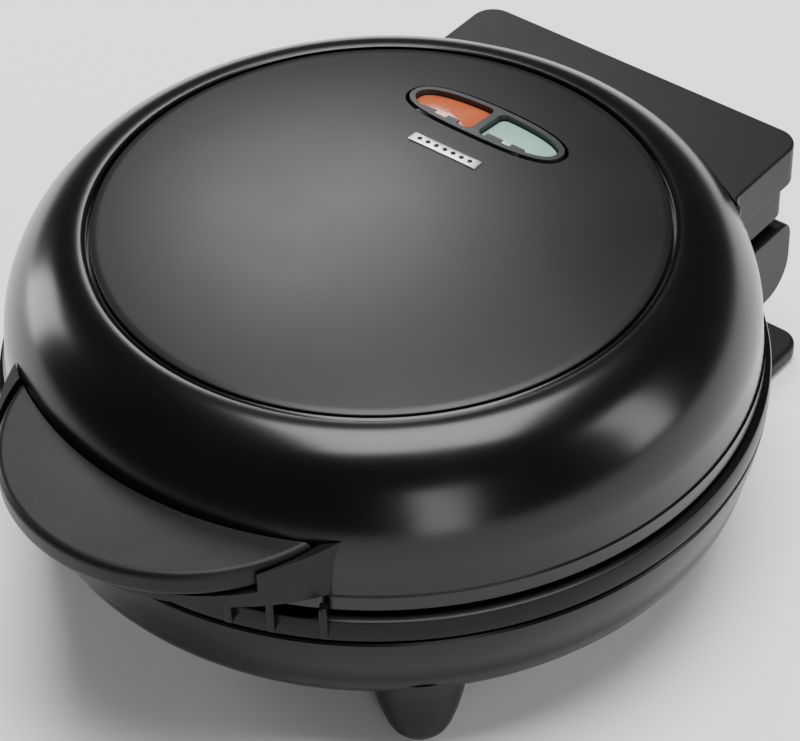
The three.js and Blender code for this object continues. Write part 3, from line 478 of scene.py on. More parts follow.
class Look(Enum):
    """Every finish on the object."""

    LID = Finish("gloss_black", (0.0015, 0.0015, 0.0018), (0.0025, 0.0025, 0.003), (0.20, 0.24),
                 texture_scale=420, bump=0.04, bump_depth=0.02, dust=0.008, specular=0.35)
    PANEL = Finish("satin_panel", (0.004, 0.004, 0.0045), (0.006, 0.006, 0.0065), (0.36, 0.40),
                   texture_scale=2600, bump=0.12, bump_depth=0.05, dust=0.01, specular=0.32)
    HANDLE = Finish("matte_black", (0.004, 0.004, 0.0045), (0.006, 0.006, 0.0065), (0.40, 0.47),
                    texture_scale=2100, bump=0.25, bump_depth=0.06, dust=0.01, specular=0.18)
    BASE = Finish("satin_black", (0.0025, 0.0025, 0.003), (0.004, 0.004, 0.0045), (0.28, 0.34),
                  texture_scale=1500, bump=0.12, bump_depth=0.05, dust=0.006, specular=0.16)
    BEZEL = Finish("bezel_grey", (0.016, 0.017, 0.018), (0.022, 0.023, 0.024), (0.30, 0.36),
                   texture_scale=2400, bump=0.08)
    # The two lenses carry a faint painted glow: emission in their tint, with no lamp lighting them.
    RED = Finish("lens_red", (0.40, 0.06, 0.015), (0.52, 0.13, 0.05), (0.14, 0.2), texture_scale=700,
                 bump=0.14, bump_depth=0.2, marks_scale=90, coat=0.3, transmission=0.25, painted_glow=0.03)
    GREEN = Finish("lens_green", (0.22, 0.38, 0.33), (0.32, 0.50, 0.44), (0.14, 0.22), texture_scale=900,
                   bump=0.2, bump_depth=0.2, marks_scale=120, coat=0.3, transmission=0.2, painted_glow=0.02)
    SILVER = Finish("silver_trim", (0.52, 0.52, 0.53), (0.66, 0.66, 0.67), (0.28, 0.38), metallic=0.9,
                    texture=Texture.BRUSHED, bump=0.2)
    PLATE = Finish("nonstick_plate", (0.016, 0.016, 0.017), (0.028, 0.028, 0.029), (0.24, 0.36),
                   metallic=0.2, texture_scale=1200, bump=0.2, bump_depth=0.06, marks_scale=60)
    ELEMENT = Finish("element_steel", (0.22, 0.20, 0.18), (0.34, 0.30, 0.27), (0.34, 0.5), metallic=1.0,
                     texture_scale=900, bump=0.2, marks_scale=80)
    REFLECTOR = Finish("reflector_sheet", (0.72, 0.72, 0.73), (0.80, 0.80, 0.81), (0.16, 0.3),
                       metallic=1.0, texture=Texture.BRUSHED, texture_scale=500, bump=0.15)
    STEEL = Finish("zinc_steel", (0.50, 0.50, 0.48), (0.62, 0.62, 0.60), (0.22, 0.36), metallic=1.0,
                   texture_scale=1800, bump=0.15, marks_scale=200)
    GLASS = Finish("lamp_glass", (0.86, 0.78, 0.7), (0.9, 0.84, 0.78), (0.04, 0.09), texture_scale=300,
                   bump=0.03, transmission=0.85)
    CERAMIC = Finish("heat_plastic", (0.66, 0.63, 0.56), (0.72, 0.69, 0.62), (0.5, 0.6),
                     texture_scale=1500, bump=0.2, marks_scale=70)
    RUBBER = Finish("black_rubber", (0.014, 0.014, 0.014), (0.022, 0.022, 0.022), (0.72, 0.85),
                    texture_scale=1300, bump=0.35, bump_depth=0.08, dust=0.05)


class Finishes:
    """Builds each finish once and hands out its material."""

    def __init__(self) -> None:
        """Builds the shared groups and every material."""
        groups = {
            "grain": grain_group(),
            "marks": marks_group(),
            "dust": dust_group(),
            "brushed": brushed_group(),
        }
        self.made = {look: look.value.build(groups) for look in Look}

    def __getitem__(self, look: Look) -> bpy.types.Material:
        """Returns the material of a finish."""
        return self.made[look]


# ---------------------------------------------------------------- mesh tools


def rounded(corners: Sequence[tuple[float, float, float]], steps: int = 8) -> list[Flat]:
    """Draws a closed outline whose corners are rounded.

    Args:
        corners: Each corner's two coordinates and its radius, 0 for a sharp one.
        steps: Segments in each rounded corner.

    Returns:
        The outline's points in order.
    """
    points: list[Flat] = []
    count = len(corners)
    for i, (a, b, radius) in enumerate(corners):
        corner = Vector((a, b))
        if radius <= 0:
            points.append((a, b))
            continue
        before = (Vector(corners[i - 1][:2]) - corner).normalized()
        after = (Vector(corners[(i + 1) % count][:2]) - corner).normalized()
        half = before.angle(after) / 2
        reach = radius / math.tan(half)
        centre = corner + (before + after).normalized() * (radius / math.sin(half))
        start = corner + before * reach - centre
        swing = start.angle_signed(corner + after * reach - centre)
        for step in range(steps + 1):
            turn = -swing * step / steps
            x = start.x * math.cos(turn) - start.y * math.sin(turn)
            y = start.x * math.sin(turn) + start.y * math.cos(turn)
            points.append((centre.x + x, centre.y + y))
    return points


def arc(centre: Flat, radius: float, start: float, end: float, steps: int) -> list[Flat]:
    """Draws an arc.

    Args:
        centre: Its centre.
        radius: Its radius.
        start: The angle where it starts, in degrees.
        end: The angle where it ends, in degrees.
        steps: Segments in the arc.

    Returns:
        The arc's points in order.
    """
    points = []
    for step in range(steps + 1):
        turn = math.radians(start + (end - start) * step / steps)
        points.append((centre[0] + radius * math.cos(turn), centre[1] + radius * math.sin(turn)))
    return points


def circle(centre: Flat, radius: float, steps: int = 24) -> list[Flat]:
    """Returns the points of a whole circle, each once."""
    return arc(centre, radius, 0, 360, steps)[:-1]


def raw_object(name: str, points: Iterable[Point], edges: list, faces: list) -> bpy.types.Object:
    """Makes an object from points in metres.

    Args:
        name: The object's name.
        points: The points, in metres.
        edges: Pairs of point numbers.
        faces: Rings of point numbers.

    Returns:
        The new object, linked to the scene.
    """
    mesh = bpy.data.meshes.new(name)
    mesh.from_pydata(list(points), edges, faces)
    mesh.update()
    made = bpy.data.objects.new(name, mesh)
    bpy.context.scene.collection.objects.link(made)
    return made


def in_row(x: float, y: float, z: float) -> Point:
    """Turns millimetres from the lid's axis into metres in the object's frame."""
    return (x * MM, y * MM + AXIS.y, z * MM)


def tidy(obj: bpy.types.Object, sharp: float = SHARP_ANGLE) -> bpy.types.Object:
    """Welds doubles, points faces outwards and shades smooth up to an angle.

    Args:
        obj: The object whose mesh is tidied.
        sharp: Edges that turn more than this stay crisp.

    Returns:
        The same object.
    """
    work = bmesh.new()
    work.from_mesh(obj.data)
    bmesh.ops.remove_doubles(work, verts=work.verts, dist=WELD_DISTANCE)
    bmesh.ops.dissolve_degenerate(work, edges=work.edges, dist=SLIVER)
    bmesh.ops.recalc_face_normals(work, faces=work.faces)
    work.to_mesh(obj.data)
    work.free()
    obj.data.shade_smooth()
    obj.data.set_sharp_from_angle(angle=sharp)
    return obj


def settle(obj: bpy.types.Object) -> bpy.types.Object:
    """Turns an object and its modifiers into a plain mesh.

    Args:
        obj: The object, whose modifiers are used up.

    Returns:
        The same object.
    """
    bpy.context.view_layer.update()
    graph = bpy.context.evaluated_depsgraph_get()
    mesh = bpy.data.meshes.new_from_object(obj.evaluated_get(graph), depsgraph=graph)
    before = obj.data
    obj.modifiers.clear()
    obj.data = mesh
    bpy.data.meshes.remove(before)
    return obj


def drop(*tools: bpy.types.Object) -> None:
    """Removes helper objects and their meshes.

    Args:
        tools: The objects to remove.
    """
    for tool in tools:
        mesh = tool.data
        bpy.data.objects.remove(tool)
        bpy.data.meshes.remove(mesh)


def carve(obj: bpy.types.Object, *tools: bpy.types.Object, how: str = "DIFFERENCE") -> bpy.types.Object:
    """Cuts, joins or intersects an object with tools, which are used up.

    Args:
        obj: The object that is kept.
        tools: The objects that act on it.
        how: The boolean operation.

    Returns:
        The same object with a new mesh.
    """
    for tool in tools:
        step = obj.modifiers.new("carve", "BOOLEAN")
        step.operation = how
        step.solver = "MANIFOLD"
        step.object = tool
    settle(obj)
    drop(*tools)
    return tidy(obj)


def soften(obj: bpy.types.Object, width: float, segments: int = 3, angle: float = 40) -> bpy.types.Object:
    """Rounds an object's edges by a width in millimetres and evens its shading.

    Args:
        obj: The object to round.
        width: The rounding's width, in millimetres.
        segments: Facets across the rounding.
        angle: Edges that turn more than this many degrees are rounded.

    Returns:
        The same object with a new mesh.
    """
    bevel = obj.modifiers.new("round", "BEVEL")
    bevel.width = width * MM
    bevel.segments = segments
    bevel.limit_method = "ANGLE"
    bevel.angle_limit = math.radians(angle)
    bevel.use_clamp_overlap = True
    settle(obj)
    tidy(obj)
    even = obj.modifiers.new("even", "WEIGHTED_NORMAL")
    even.keep_sharp = True
    return settle(obj)


def spanned(name: str, points: Sequence[Point]) -> bpy.types.Object:
    """Closes two equal rings of points, given one after the other, into a solid.

    Args:
        name: The object's name.
        points: The points of both rings, in metres.

    Returns:
        The new object.
    """
    count = len(points) // 2
    ends = [list(range(count)), list(range(count, 2 * count))]
    walls = [[i, (i + 1) % count, count + (i + 1) % count, count + i] for i in range(count)]
    return tidy(raw_object(name, points, [], ends + walls))


def prism(name: str, outline: Sequence[Flat], low: float, high: float) -> bpy.types.Object:
    """Makes an upright prism of a plan outline, in millimetres from the lid's axis."""
    return spanned(name, [in_row(x, y, z) for z in (low, high) for x, y in outline])


def side_prism(name: str, outline: Sequence[Flat], left: float, right: float) -> bpy.types.Object:
    """Makes a prism along X of an outline drawn in Y and Z."""
    return spanned(name, [in_row(x, y, z) for x in (left, right) for y, z in outline])


def front_prism(name: str, outline: Sequence[Flat], front: float, rear: float) -> bpy.types.Object:
    """Makes a prism along Y of an outline drawn in X and Z."""
    return spanned(name, [in_row(x, y, z) for y in (front, rear) for x, z in outline])


def block(name: str, low: Point, high: Point) -> bpy.types.Object:
    """Makes a box between two corners, in millimetres from the lid's axis."""
    plan = [(low[0], low[1]), (high[0], low[1]), (high[0], high[1]), (low[0], high[1])]
    return prism(name, plan, low[2], high[2])


def crowned(name: str, outline: Sequence[Flat], low: float, high: float, crown: float,
            edge: float) -> bpy.types.Object:
    """Makes a pad with a rounded rim and a slightly domed top.

    Args:
        name: The object's name.
        outline: The plan outline, star-shaped about its own middle.
        low: The underside's height.
        high: The height where the top meets its rounded rim.
        crown: How far the middle stands above the rim.
        edge: Radius of the rounded rim.

    Returns:
        The new object.
    """
    middle = (sum(p[0] for p in outline) / len(outline), sum(p[1] for p in outline) / len(outline))
    reach = min(math.dist(middle, p) for p in outline)
    rings = [(1.0, low), (1.0, high - edge)]
    for step in range(1, 5):
        turn = step / 4 * math.pi / 2
        rings.append((1 - edge * (1 - math.cos(turn)) / reach, high - edge + edge * math.sin(turn)))
    inner = rings[-1][0]
    for step in range(1, 6):
        share = inner * (1 - step / 6)
        rings.append((share, high + crown * (1 - (share / inner) ** 2)))
    points = [in_row(middle[0] + (x - middle[0]) * share, middle[1] + (y - middle[1]) * share, z)
              for share, z in rings for x, y in outline]
    count = len(outline)
    faces = [[r * count + i, r * count + (i + 1) % count, (r + 1) * count + (i + 1) % count,
              (r + 1) * count + i] for r in range(len(rings) - 1) for i in range(count)]
    faces.append(list(range(count)))
    last = (len(rings) - 1) * count
    points.append(in_row(*middle, high + crown))
    faces += [[last + i, last + (i + 1) % count, len(points) - 1] for i in range(count)]
    return tidy(raw_object(name, points, [], faces))


class Workshop:
    """Makes pieces, gives them their finish and hangs them on a body."""

    def __init__(self) -> None:
        """Builds the finishes and the geometry trees."""
        self.finishes = Finishes()
        self.turning = turning_tree()
        self.copying = copying_tree()

    def turned(self, name: str, profile: Sequence[Flat], steps: int = FINE_STEPS,
               centre: Flat = (0, 0), closed: bool = False) -> bpy.types.Object:
        """Turns a profile of radius and height, in millimetres, about an upright axis.

        Args:
            name: The object's name.
            profile: The points, which start and end on the axis unless closed.
            steps: Facets round the axis.
            centre: The axis's place in plan.
            closed: True if the profile's last point joins its first.

        Returns:
            The new object.
        """
        points = [(r * MM, 0, z * MM) for r, z in profile]
        edges = [(i, i + 1) for i in range(len(points) - 1)]
        if closed:
            edges.append((len(points) - 1, 0))
        made = raw_object(name, points, edges, [])
        turn = made.modifiers.new("turn", "NODES")
        turn.node_group = self.turning.group
        turn[self.turning.identifier("Steps")] = steps
        turn[self.turning.identifier("Axis")] = in_row(*centre, 0)
        return tidy(settle(made))

    def post(self, name: str, radius: float, low: float, high: float) -> bpy.types.Object:
        """Makes a plain cylinder about the lid's axis."""
        return self.turned(name, [(0, low), (radius, low), (radius, high), (0, high)])

    def copies(self, name: str, piece: bpy.types.Object, spots: Sequence[tuple[Point, float]],
               look: Look) -> bpy.types.Object:
        """Puts copies of a piece on spots, each turned about its own upright axis.

        Args:
            name: The object's name.
            piece: The piece, drawn about the lid's axis; it is used up.
            spots: Each copy's place in millimetres and its turn in degrees.
            look: The finish of the copies.

        Returns:
            One plain object that holds all the copies.
        """
        piece.data.transform(Matrix.Translation(-AXIS))
        made = raw_object(name, [in_row(*place) for place, _ in spots], [], [])
        turns = made.data.attributes.new("turn", "FLOAT", "POINT")
        turns.data.foreach_set("value", [math.radians(turn) for _, turn in spots])
        step = made.modifiers.new("copies", "NODES")
        step.node_group = self.copying.group
        step[self.copying.identifier("Piece")] = piece
        step[self.copying.identifier("Material")] = self.finishes[look]
        settle(made)
        drop(piece)
        return made

    def finish(self, obj: bpy.types.Object, look: Look, body: str, *nodes: str) -> bpy.types.Object:
        """Paints a piece, hangs it on a body and lets it stand for CAD nodes.

        Args:
            obj: The finished piece.
            look: Its finish.
            body: The body that it moves with.
            nodes: The CAD nodes that it stands for.

        Returns:
            The same piece.
        """
        obj.data.materials.clear()
        obj.data.materials.append(self.finishes[look])
        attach(obj, body)
        if nodes:
            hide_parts(*nodes)
        log.info("%s: %d faces on %s", obj.name, len(obj.data.polygons), body)
        return obj

    def dress(self, look: Look, *nodes: str) -> None:
        """Gives carried-over CAD nodes a finish.

        Args:
            look: The finish.
            nodes: The nodes' names.
        """
        for name in nodes:
            node = frame["nodes"][name]
            node.data.materials.clear()
            node.data.materials.append(self.finishes[look])
            log.info("%s: kept, dressed as %s", name, look.value.slot)


# --------------------------------------------------------------- sub-assemblies


@dataclass
class Dome:
    """The curve of the lid's top panel and of all that follows it."""

    edge_height: float = 108.2
    rise: float = 7.0
    edge_radius: float = 82.8

    def height(self, radius: float) -> float:
        """Returns the panel's height at a distance from the axis."""
        return self.edge_height + self.rise * (1 - (radius / self.edge_radius) ** 2)

    def profile(self, outer: float, down: float, steps: int = 24) -> list[Flat]:
        """Returns points from an outer radius in to the axis, lowered by some millimetres."""
        radii = [outer * (1 - i / steps) for i in range(steps + 1)]
        return [(radius, self.height(radius) - down) for radius in radii]

    def drape(self, obj: bpy.types.Object) -> bpy.types.Object:
        """Bends a flat piece drawn about height zero over the dome.

        Args:
            obj: The flat piece.

        Returns:
            The same piece, bent.
        """
        for vertex in obj.data.vertices:
            place = vertex.co
            radius = math.hypot(place.x, place.y - AXIS.y) / MM
            place.z += self.height(radius) * MM
        return tidy(obj)


@dataclass
class Oval:
    """The indicator window's oval, drawn in plan."""

    centre_y: float = 49.0
    length: float = 56.0
    width: float = 19.0
    fullness: float = 0.75
    stretch: float = 0.65

    def outline(self, grow: float, steps: int = 20) -> list[Flat]:
        """Draws the oval, grown by some millimetres.

        Args:
            grow: How far the outline stands outside the window's own edge.
            steps: Segments in each quarter.

        Returns:
            The outline's points, in millimetres from the lid's axis.
        """
        half_length = self.length / 2 + grow
        half_width = self.width / 2 + grow
        controls = [(-half_length, 0.0), (-half_length, half_width * self.fullness),
                    (-half_length * self.stretch, half_width), (0.0, half_width)]
        quarter = []
        for i in range(steps + 1):
            t = i / steps
            weights = ((1 - t) ** 3, 3 * t * (1 - t) ** 2, 3 * t * t * (1 - t), t ** 3)
            quarter.append(tuple(sum(w * c[k] for w, c in zip(weights, controls)) for k in (X, Y)))
        upper = [*quarter, *((-x, y) for x, y in reversed(quarter[:-1]))]
        lower = [(x, -y) for x, y in reversed(upper[1:-1])]
        return [(x, y + self.centre_y) for x, y in upper + lower]


@dataclass
class Lid:
    """The glossy lid shell with its hinge block, and the satin panel on top."""

    shop: Workshop
    dome: Dome
    oval: Oval
    radius: float = highest("lid_shell", X)
    bottom: float = lowest("lid_shell", Z)
    wall: float = 2.5
    lip_radius: float = 103.8
    lip_band: float = 5.0
    lip_slope: Flat = (0.6, 5.4)
    lower_edge: float = 0.5
    wall_top: float = 77.5
    wall_radius: float = 108.7
    shoulder_top: float = 108.2
    shoulder_inner: float = 84.2
    power: float = 1.78
    shoulder_steps: int = 44
    ridge: tuple[Flat, ...] = ((0.0, -0.3), (0.15, 0.2), (0.5, 0.45), (0.9, 0.35))
    panel_gap: float = 1.0
    panel_thickness: float = 1.5
    panel_edge: float = 0.5
    panel_round: float = 0.15
    panel_steps: int = 40
    seat_gap: float = 0.3
    block_half: float = highest("hinge_block", X)
    block_rear: float = highest("hinge_block", Y)
    block_top: float = highest("hinge_block", Z)
    block_corner: float = 7.5
    block_straight: float = 30.0
    block_bite: float = 1.0
    block_round: float = 1.1
    flare: float = 5.0
    flare_run: float = 1.6
    ledge_bottom: float = 61.5
    ledge_height: float = 10.5
    ledge_front: float = 60.0
    ledge_rear: float = 122.5
    ledge_inset: float = 1.0
    ledge_corner: float = 5.0
    ledge_bite: float = 1.5
    ledge_round: float = 0.6
    rim_room: float = 113.5
    lug_inner: float = 42.0
    lug_outer: float = 51.0
    lug_radius: float = 7.6
    lug_bore: float = 3.3
    lug_round: float = 0.5

    def shoulder(self, inset: float) -> list[Flat]:
        """Draws the rounded shoulder, from the wall up to the panel's ridge.

        Args:
            inset: How far inside the lid's outside the line runs.

        Returns:
            The line's points as radius and height.
        """
        points = []
        reach = self.wall_radius - inset - self.shoulder_inner
        rise = self.shoulder_top - inset - self.wall_top
        for i in range(self.shoulder_steps + 1):
            turn = i / self.shoulder_steps * math.pi / 2
            across = max(math.cos(turn), 0.0) ** (2 / self.power)
            up = math.sin(turn) ** (2 / self.power)
            points.append((self.shoulder_inner + reach * across, self.wall_top + rise * up))
        return points

    def clearance_form(self, name: str, gap: float) -> bpy.types.Object:
        """Makes the space that the lid's outside fills, with a gap round it.

        Args:
            name: The tool's name.
            gap: The gap, in millimetres.

        Returns:
            The tool.
        """
        profile = [(0, 0), (self.radius + gap, 0), (self.radius + gap, self.bottom), *self.shoulder(-gap)]
        profile.append((0, self.shoulder_top + gap))
        return self.shop.turned(name, profile)

    def window_tool(self, grow: float) -> bpy.types.Object:
        """Makes the tool that cuts the window's opening, grown by some millimetres."""
        return prism("window opening", self.oval.outline(grow), self.wall_top, BEYOND)

    def shell(self) -> None:
        """Builds the turned shell with its lip, shoulder, ridge, groove and recess."""
        under_panel = self.panel_thickness + self.seat_gap
        edge = self.dome.edge_radius
        inset, rise = self.lip_slope
        profile = [
            (0, self.dome.height(0) - under_panel),
            *reversed(self.dome.profile(edge, under_panel)[:-1]),
            *((edge + out, self.shoulder_top + up) for out, up in self.ridge),
            *reversed(self.shoulder(0)),
            (self.radius - inset, self.bottom + rise),
            (self.radius, self.bottom + self.lip_band), (self.radius, self.bottom + self.lower_edge),
            (self.radius - self.lower_edge, self.bottom), (self.lip_radius, self.bottom),
            (self.lip_radius, self.bottom + self.wall), (self.radius - self.wall, self.bottom + self.wall),
            *self.shoulder(self.wall)[:-1],
            *self.dome.profile(edge - self.wall, under_panel + self.wall),
        ]
        shell = carve(self.shop.turned("lid_dome", profile), self.window_tool(self.seat_gap))
        self.shop.finish(shell, Look.LID, "lid", "lid_shell")

    def block_plan(self) -> list[Flat]:
        """Draws the hinge block's plan, flared where it meets the lid's wall.

        Returns:
            The plan's points, in millimetres from the lid's axis.
        """
        half, rear, flare = self.block_half, self.block_rear, self.flare
        wall = self.wall_radius - self.block_bite
        start = math.degrees(math.asin((half + flare) / wall))
        inner = arc((0, 0), wall, 90 - start, 90 + start, 24)
        front = inner[0][Y]
        fillet = arc((half + flare, front + flare * self.flare_run), flare, 250, 180, 6)
        left = [(-x, y) for x, y in reversed(fillet)]
        side = front + self.block_straight
        rear_side = rounded([(half, side, 0), (half, rear, self.block_corner),
                             (-half, rear, self.block_corner), (-half, side, 0)], 10)
        return [*reversed(inner), *fillet, *rear_side, *left]

    def hinge_block(self) -> None:
        """Builds the flat-topped block and the stepped ledge under it."""
        shelf = self.ledge_bottom + self.ledge_height
        upper = prism("hinge_block", self.block_plan(), shelf, self.block_top)
        soften(upper, self.block_round, 4, 50)
        half = self.block_half - self.ledge_inset
        lower_plan = rounded([(-half, self.ledge_front, 0), (half, self.ledge_front, 0),
                              (half, self.ledge_rear, self.ledge_corner),
                              (-half, self.ledge_rear, self.ledge_corner)])
        lower = prism("hinge_ledge", lower_plan, self.ledge_bottom, shelf + OVERCUT)
        carve(lower, self.shop.post("rim room", self.rim_room, 0, self.bottom),
              self.shop.post("lid room", self.wall_radius - self.ledge_bite, self.bottom - OVERCUT, BEYOND))
        soften(lower, self.ledge_round, 2, 50)
        self.shop.finish(upper, Look.HANDLE, "lid", "hinge_block")
        self.shop.finish(lower, Look.HANDLE, "lid")

    def lugs(self, hinge: Flat) -> None:
        """Builds the two lugs that hang from the block onto the hinge pins.

        Args:
            hinge: The hinge line's place along Y and Z.
        """
        y = hinge[0]
        top = self.ledge_bottom + OVERCUT
        outline = [(y + self.lug_radius, top), (y - self.lug_radius, top),
                   *arc(hinge, self.lug_radius, 180, 360, 28)]
        for name, side in SIDES.items():
            left, right = sorted((side * self.lug_inner, side * self.lug_outer))
            lug = side_prism(f"hinge_lug_{name}", outline, left, right)
            bore = side_prism("bore", circle(hinge, self.lug_bore), left - 2 * OVERCUT, right + 2 * OVERCUT)
            self.shop.finish(soften(carve(lug, bore), self.lug_round, 2), Look.HANDLE, "lid")

    def panel(self) -> None:
        """Builds the domed satin panel with the window's opening."""
        outer = self.dome.edge_radius - self.panel_gap
        height = self.dome.height(outer)
        top = self.dome.profile(outer - self.panel_edge, 0, self.panel_steps)
        under = self.dome.profile(outer, self.panel_thickness, self.panel_steps)
        rim = [(outer, height - self.panel_edge), (outer - self.panel_round, height - self.panel_round)]
        panel = self.shop.turned("satin_panel", [*reversed(under), *rim, *top], FINEST_STEPS)
        carve(panel, self.window_tool(0.0))
        self.shop.finish(panel, Look.PANEL, "lid", "top_panel")


@dataclass
class Window:
    """The oval indicator window: bezel, two lenses and the blank badge in front of it."""

    shop: Workshop
    dome: Dome
    oval: Oval
    groove: float = 1.2
    rim: float = 2.0
    bridge: float = 3.0
    proud: float = 0.5
    depth: float = 3.0
    edge: float = 0.3
    gap: float = 0.3
    tabs: tuple[Flat, ...] = ((-17.5, 4.6), (-8.6, 4.2), (6.4, 5.4), (14.6, 4.6))
    tab_root: float = 1.4
    tab_reach: float = 2.2
    tab_lean: float = 0.02
    tab_top: float = -0.15
    tab_lift: float = 0.35
    lens_step: float = 0.9
    lens_corner: float = 2.2
    lens_thickness: float = 1.9
    lens_drop: float = 0.25
    lens_crown: float = 0.35
    lens_edge: float = 0.5
    badge_y: float = 29.5
    badge_half: Flat = (12.0, 2.0)
    badge_corner: float = 0.4
    badge_low: float = -0.3
    badge_high: float = 0.45
    badge_edge: float = 0.2
    dot_radius: float = 0.75
    dot_low: float = 0.4
    dot_high: float = 0.62
    dot_crown: float = 0.12
    dot_edge: float = 0.1
    dot_count: int = 7
    dot_spacing: float = 3.0

    def lens_outline(self, side: int, grow: float) -> list[Flat]:
        """Draws one lens: half of the oval with its two inner corners rounded.

        Args:
            side: -1 for the left lens, 1 for the right one.
            grow: How far the outline stands outside the lens.

        Returns:
            The outline's points, in millimetres from the lid's axis.
        """
        radius = self.lens_corner
        inner = self.bridge / 2 - grow + radius
        kept = [(x, y) for x, y in self.oval.outline(grow - self.groove - self.rim, 26) if x > inner]
        low = min(y for _, y in kept) + radius
        high = max(y for _, y in kept) - radius
        corners = [*arc((inner, low), radius, 270, 180, 6), *arc((inner, high), radius, 180, 90, 6)]
        return [(side * x, y) for x, y in kept + corners]

    def bezel(self) -> None:
        """Builds the grey rim with its bridge and the small tabs that hold the lenses."""
        body = prism("indicator_rim", self.oval.outline(-self.groove), -self.depth, self.proud)
        carve(body, *(prism("lens hole", self.lens_outline(side, self.gap), -self.depth - OVERCUT,
                            self.proud + OVERCUT) for side in SIDES.values()))
        front = min(y for _, y in self.oval.outline(-self.groove - self.rim))
        for middle, width in self.tabs:
            reach = front + self.tab_reach + abs(middle) * self.tab_lean
            tab = block("tab", (middle - width / 2, front - self.tab_root, self.tab_lift - self.lens_step),
                        (middle + width / 2, reach, self.tab_top))
            carve(body, tab, how="UNION")
        soften(body, self.edge)
        self.shop.finish(self.dome.drape(body), Look.BEZEL, "lid", "indicator_bezel")

    def lenses(self) -> None:
        """Builds the two tinted lenses."""
        for name, side, look in (("red", -1, Look.RED), ("green", 1, Look.GREEN)):
            lens = crowned(f"{name}_light_lens", self.lens_outline(side, 0),
                           -self.lens_step - self.lens_thickness, -self.lens_step - self.lens_drop,
                           self.lens_crown, self.lens_edge)
            self.shop.finish(self.dome.drape(lens), look, "lid", f"{name}_lens")

    def badge(self) -> None:
        """Builds the blank metal strip with a plain row of dots."""
        half_x, half_y = self.badge_half
        front, rear, corner = self.badge_y - half_y, self.badge_y + half_y, self.badge_corner
        plan = rounded([(-half_x, front, corner), (half_x, front, corner),
                        (half_x, rear, corner), (-half_x, rear, corner)], 4)
        strip = crowned("blank_badge", plan, self.badge_low, self.badge_high, 0.0, self.badge_edge)
        self.shop.finish(self.dome.drape(strip), Look.SILVER, "lid", "badge_strip")
        dot = crowned("dot", circle((0, 0), self.dot_radius), self.dot_low, self.dot_high, self.dot_crown,
                      self.dot_edge)
        first = -self.dot_spacing * (self.dot_count - 1) / 2
        spots = [((first + self.dot_spacing * i, self.badge_y, 0.0), 0.0) for i in range(self.dot_count)]
        row = self.shop.copies("badge_dots", dot, spots, Look.HANDLE)
        self.shop.finish(self.dome.drape(row), Look.HANDLE, "lid")


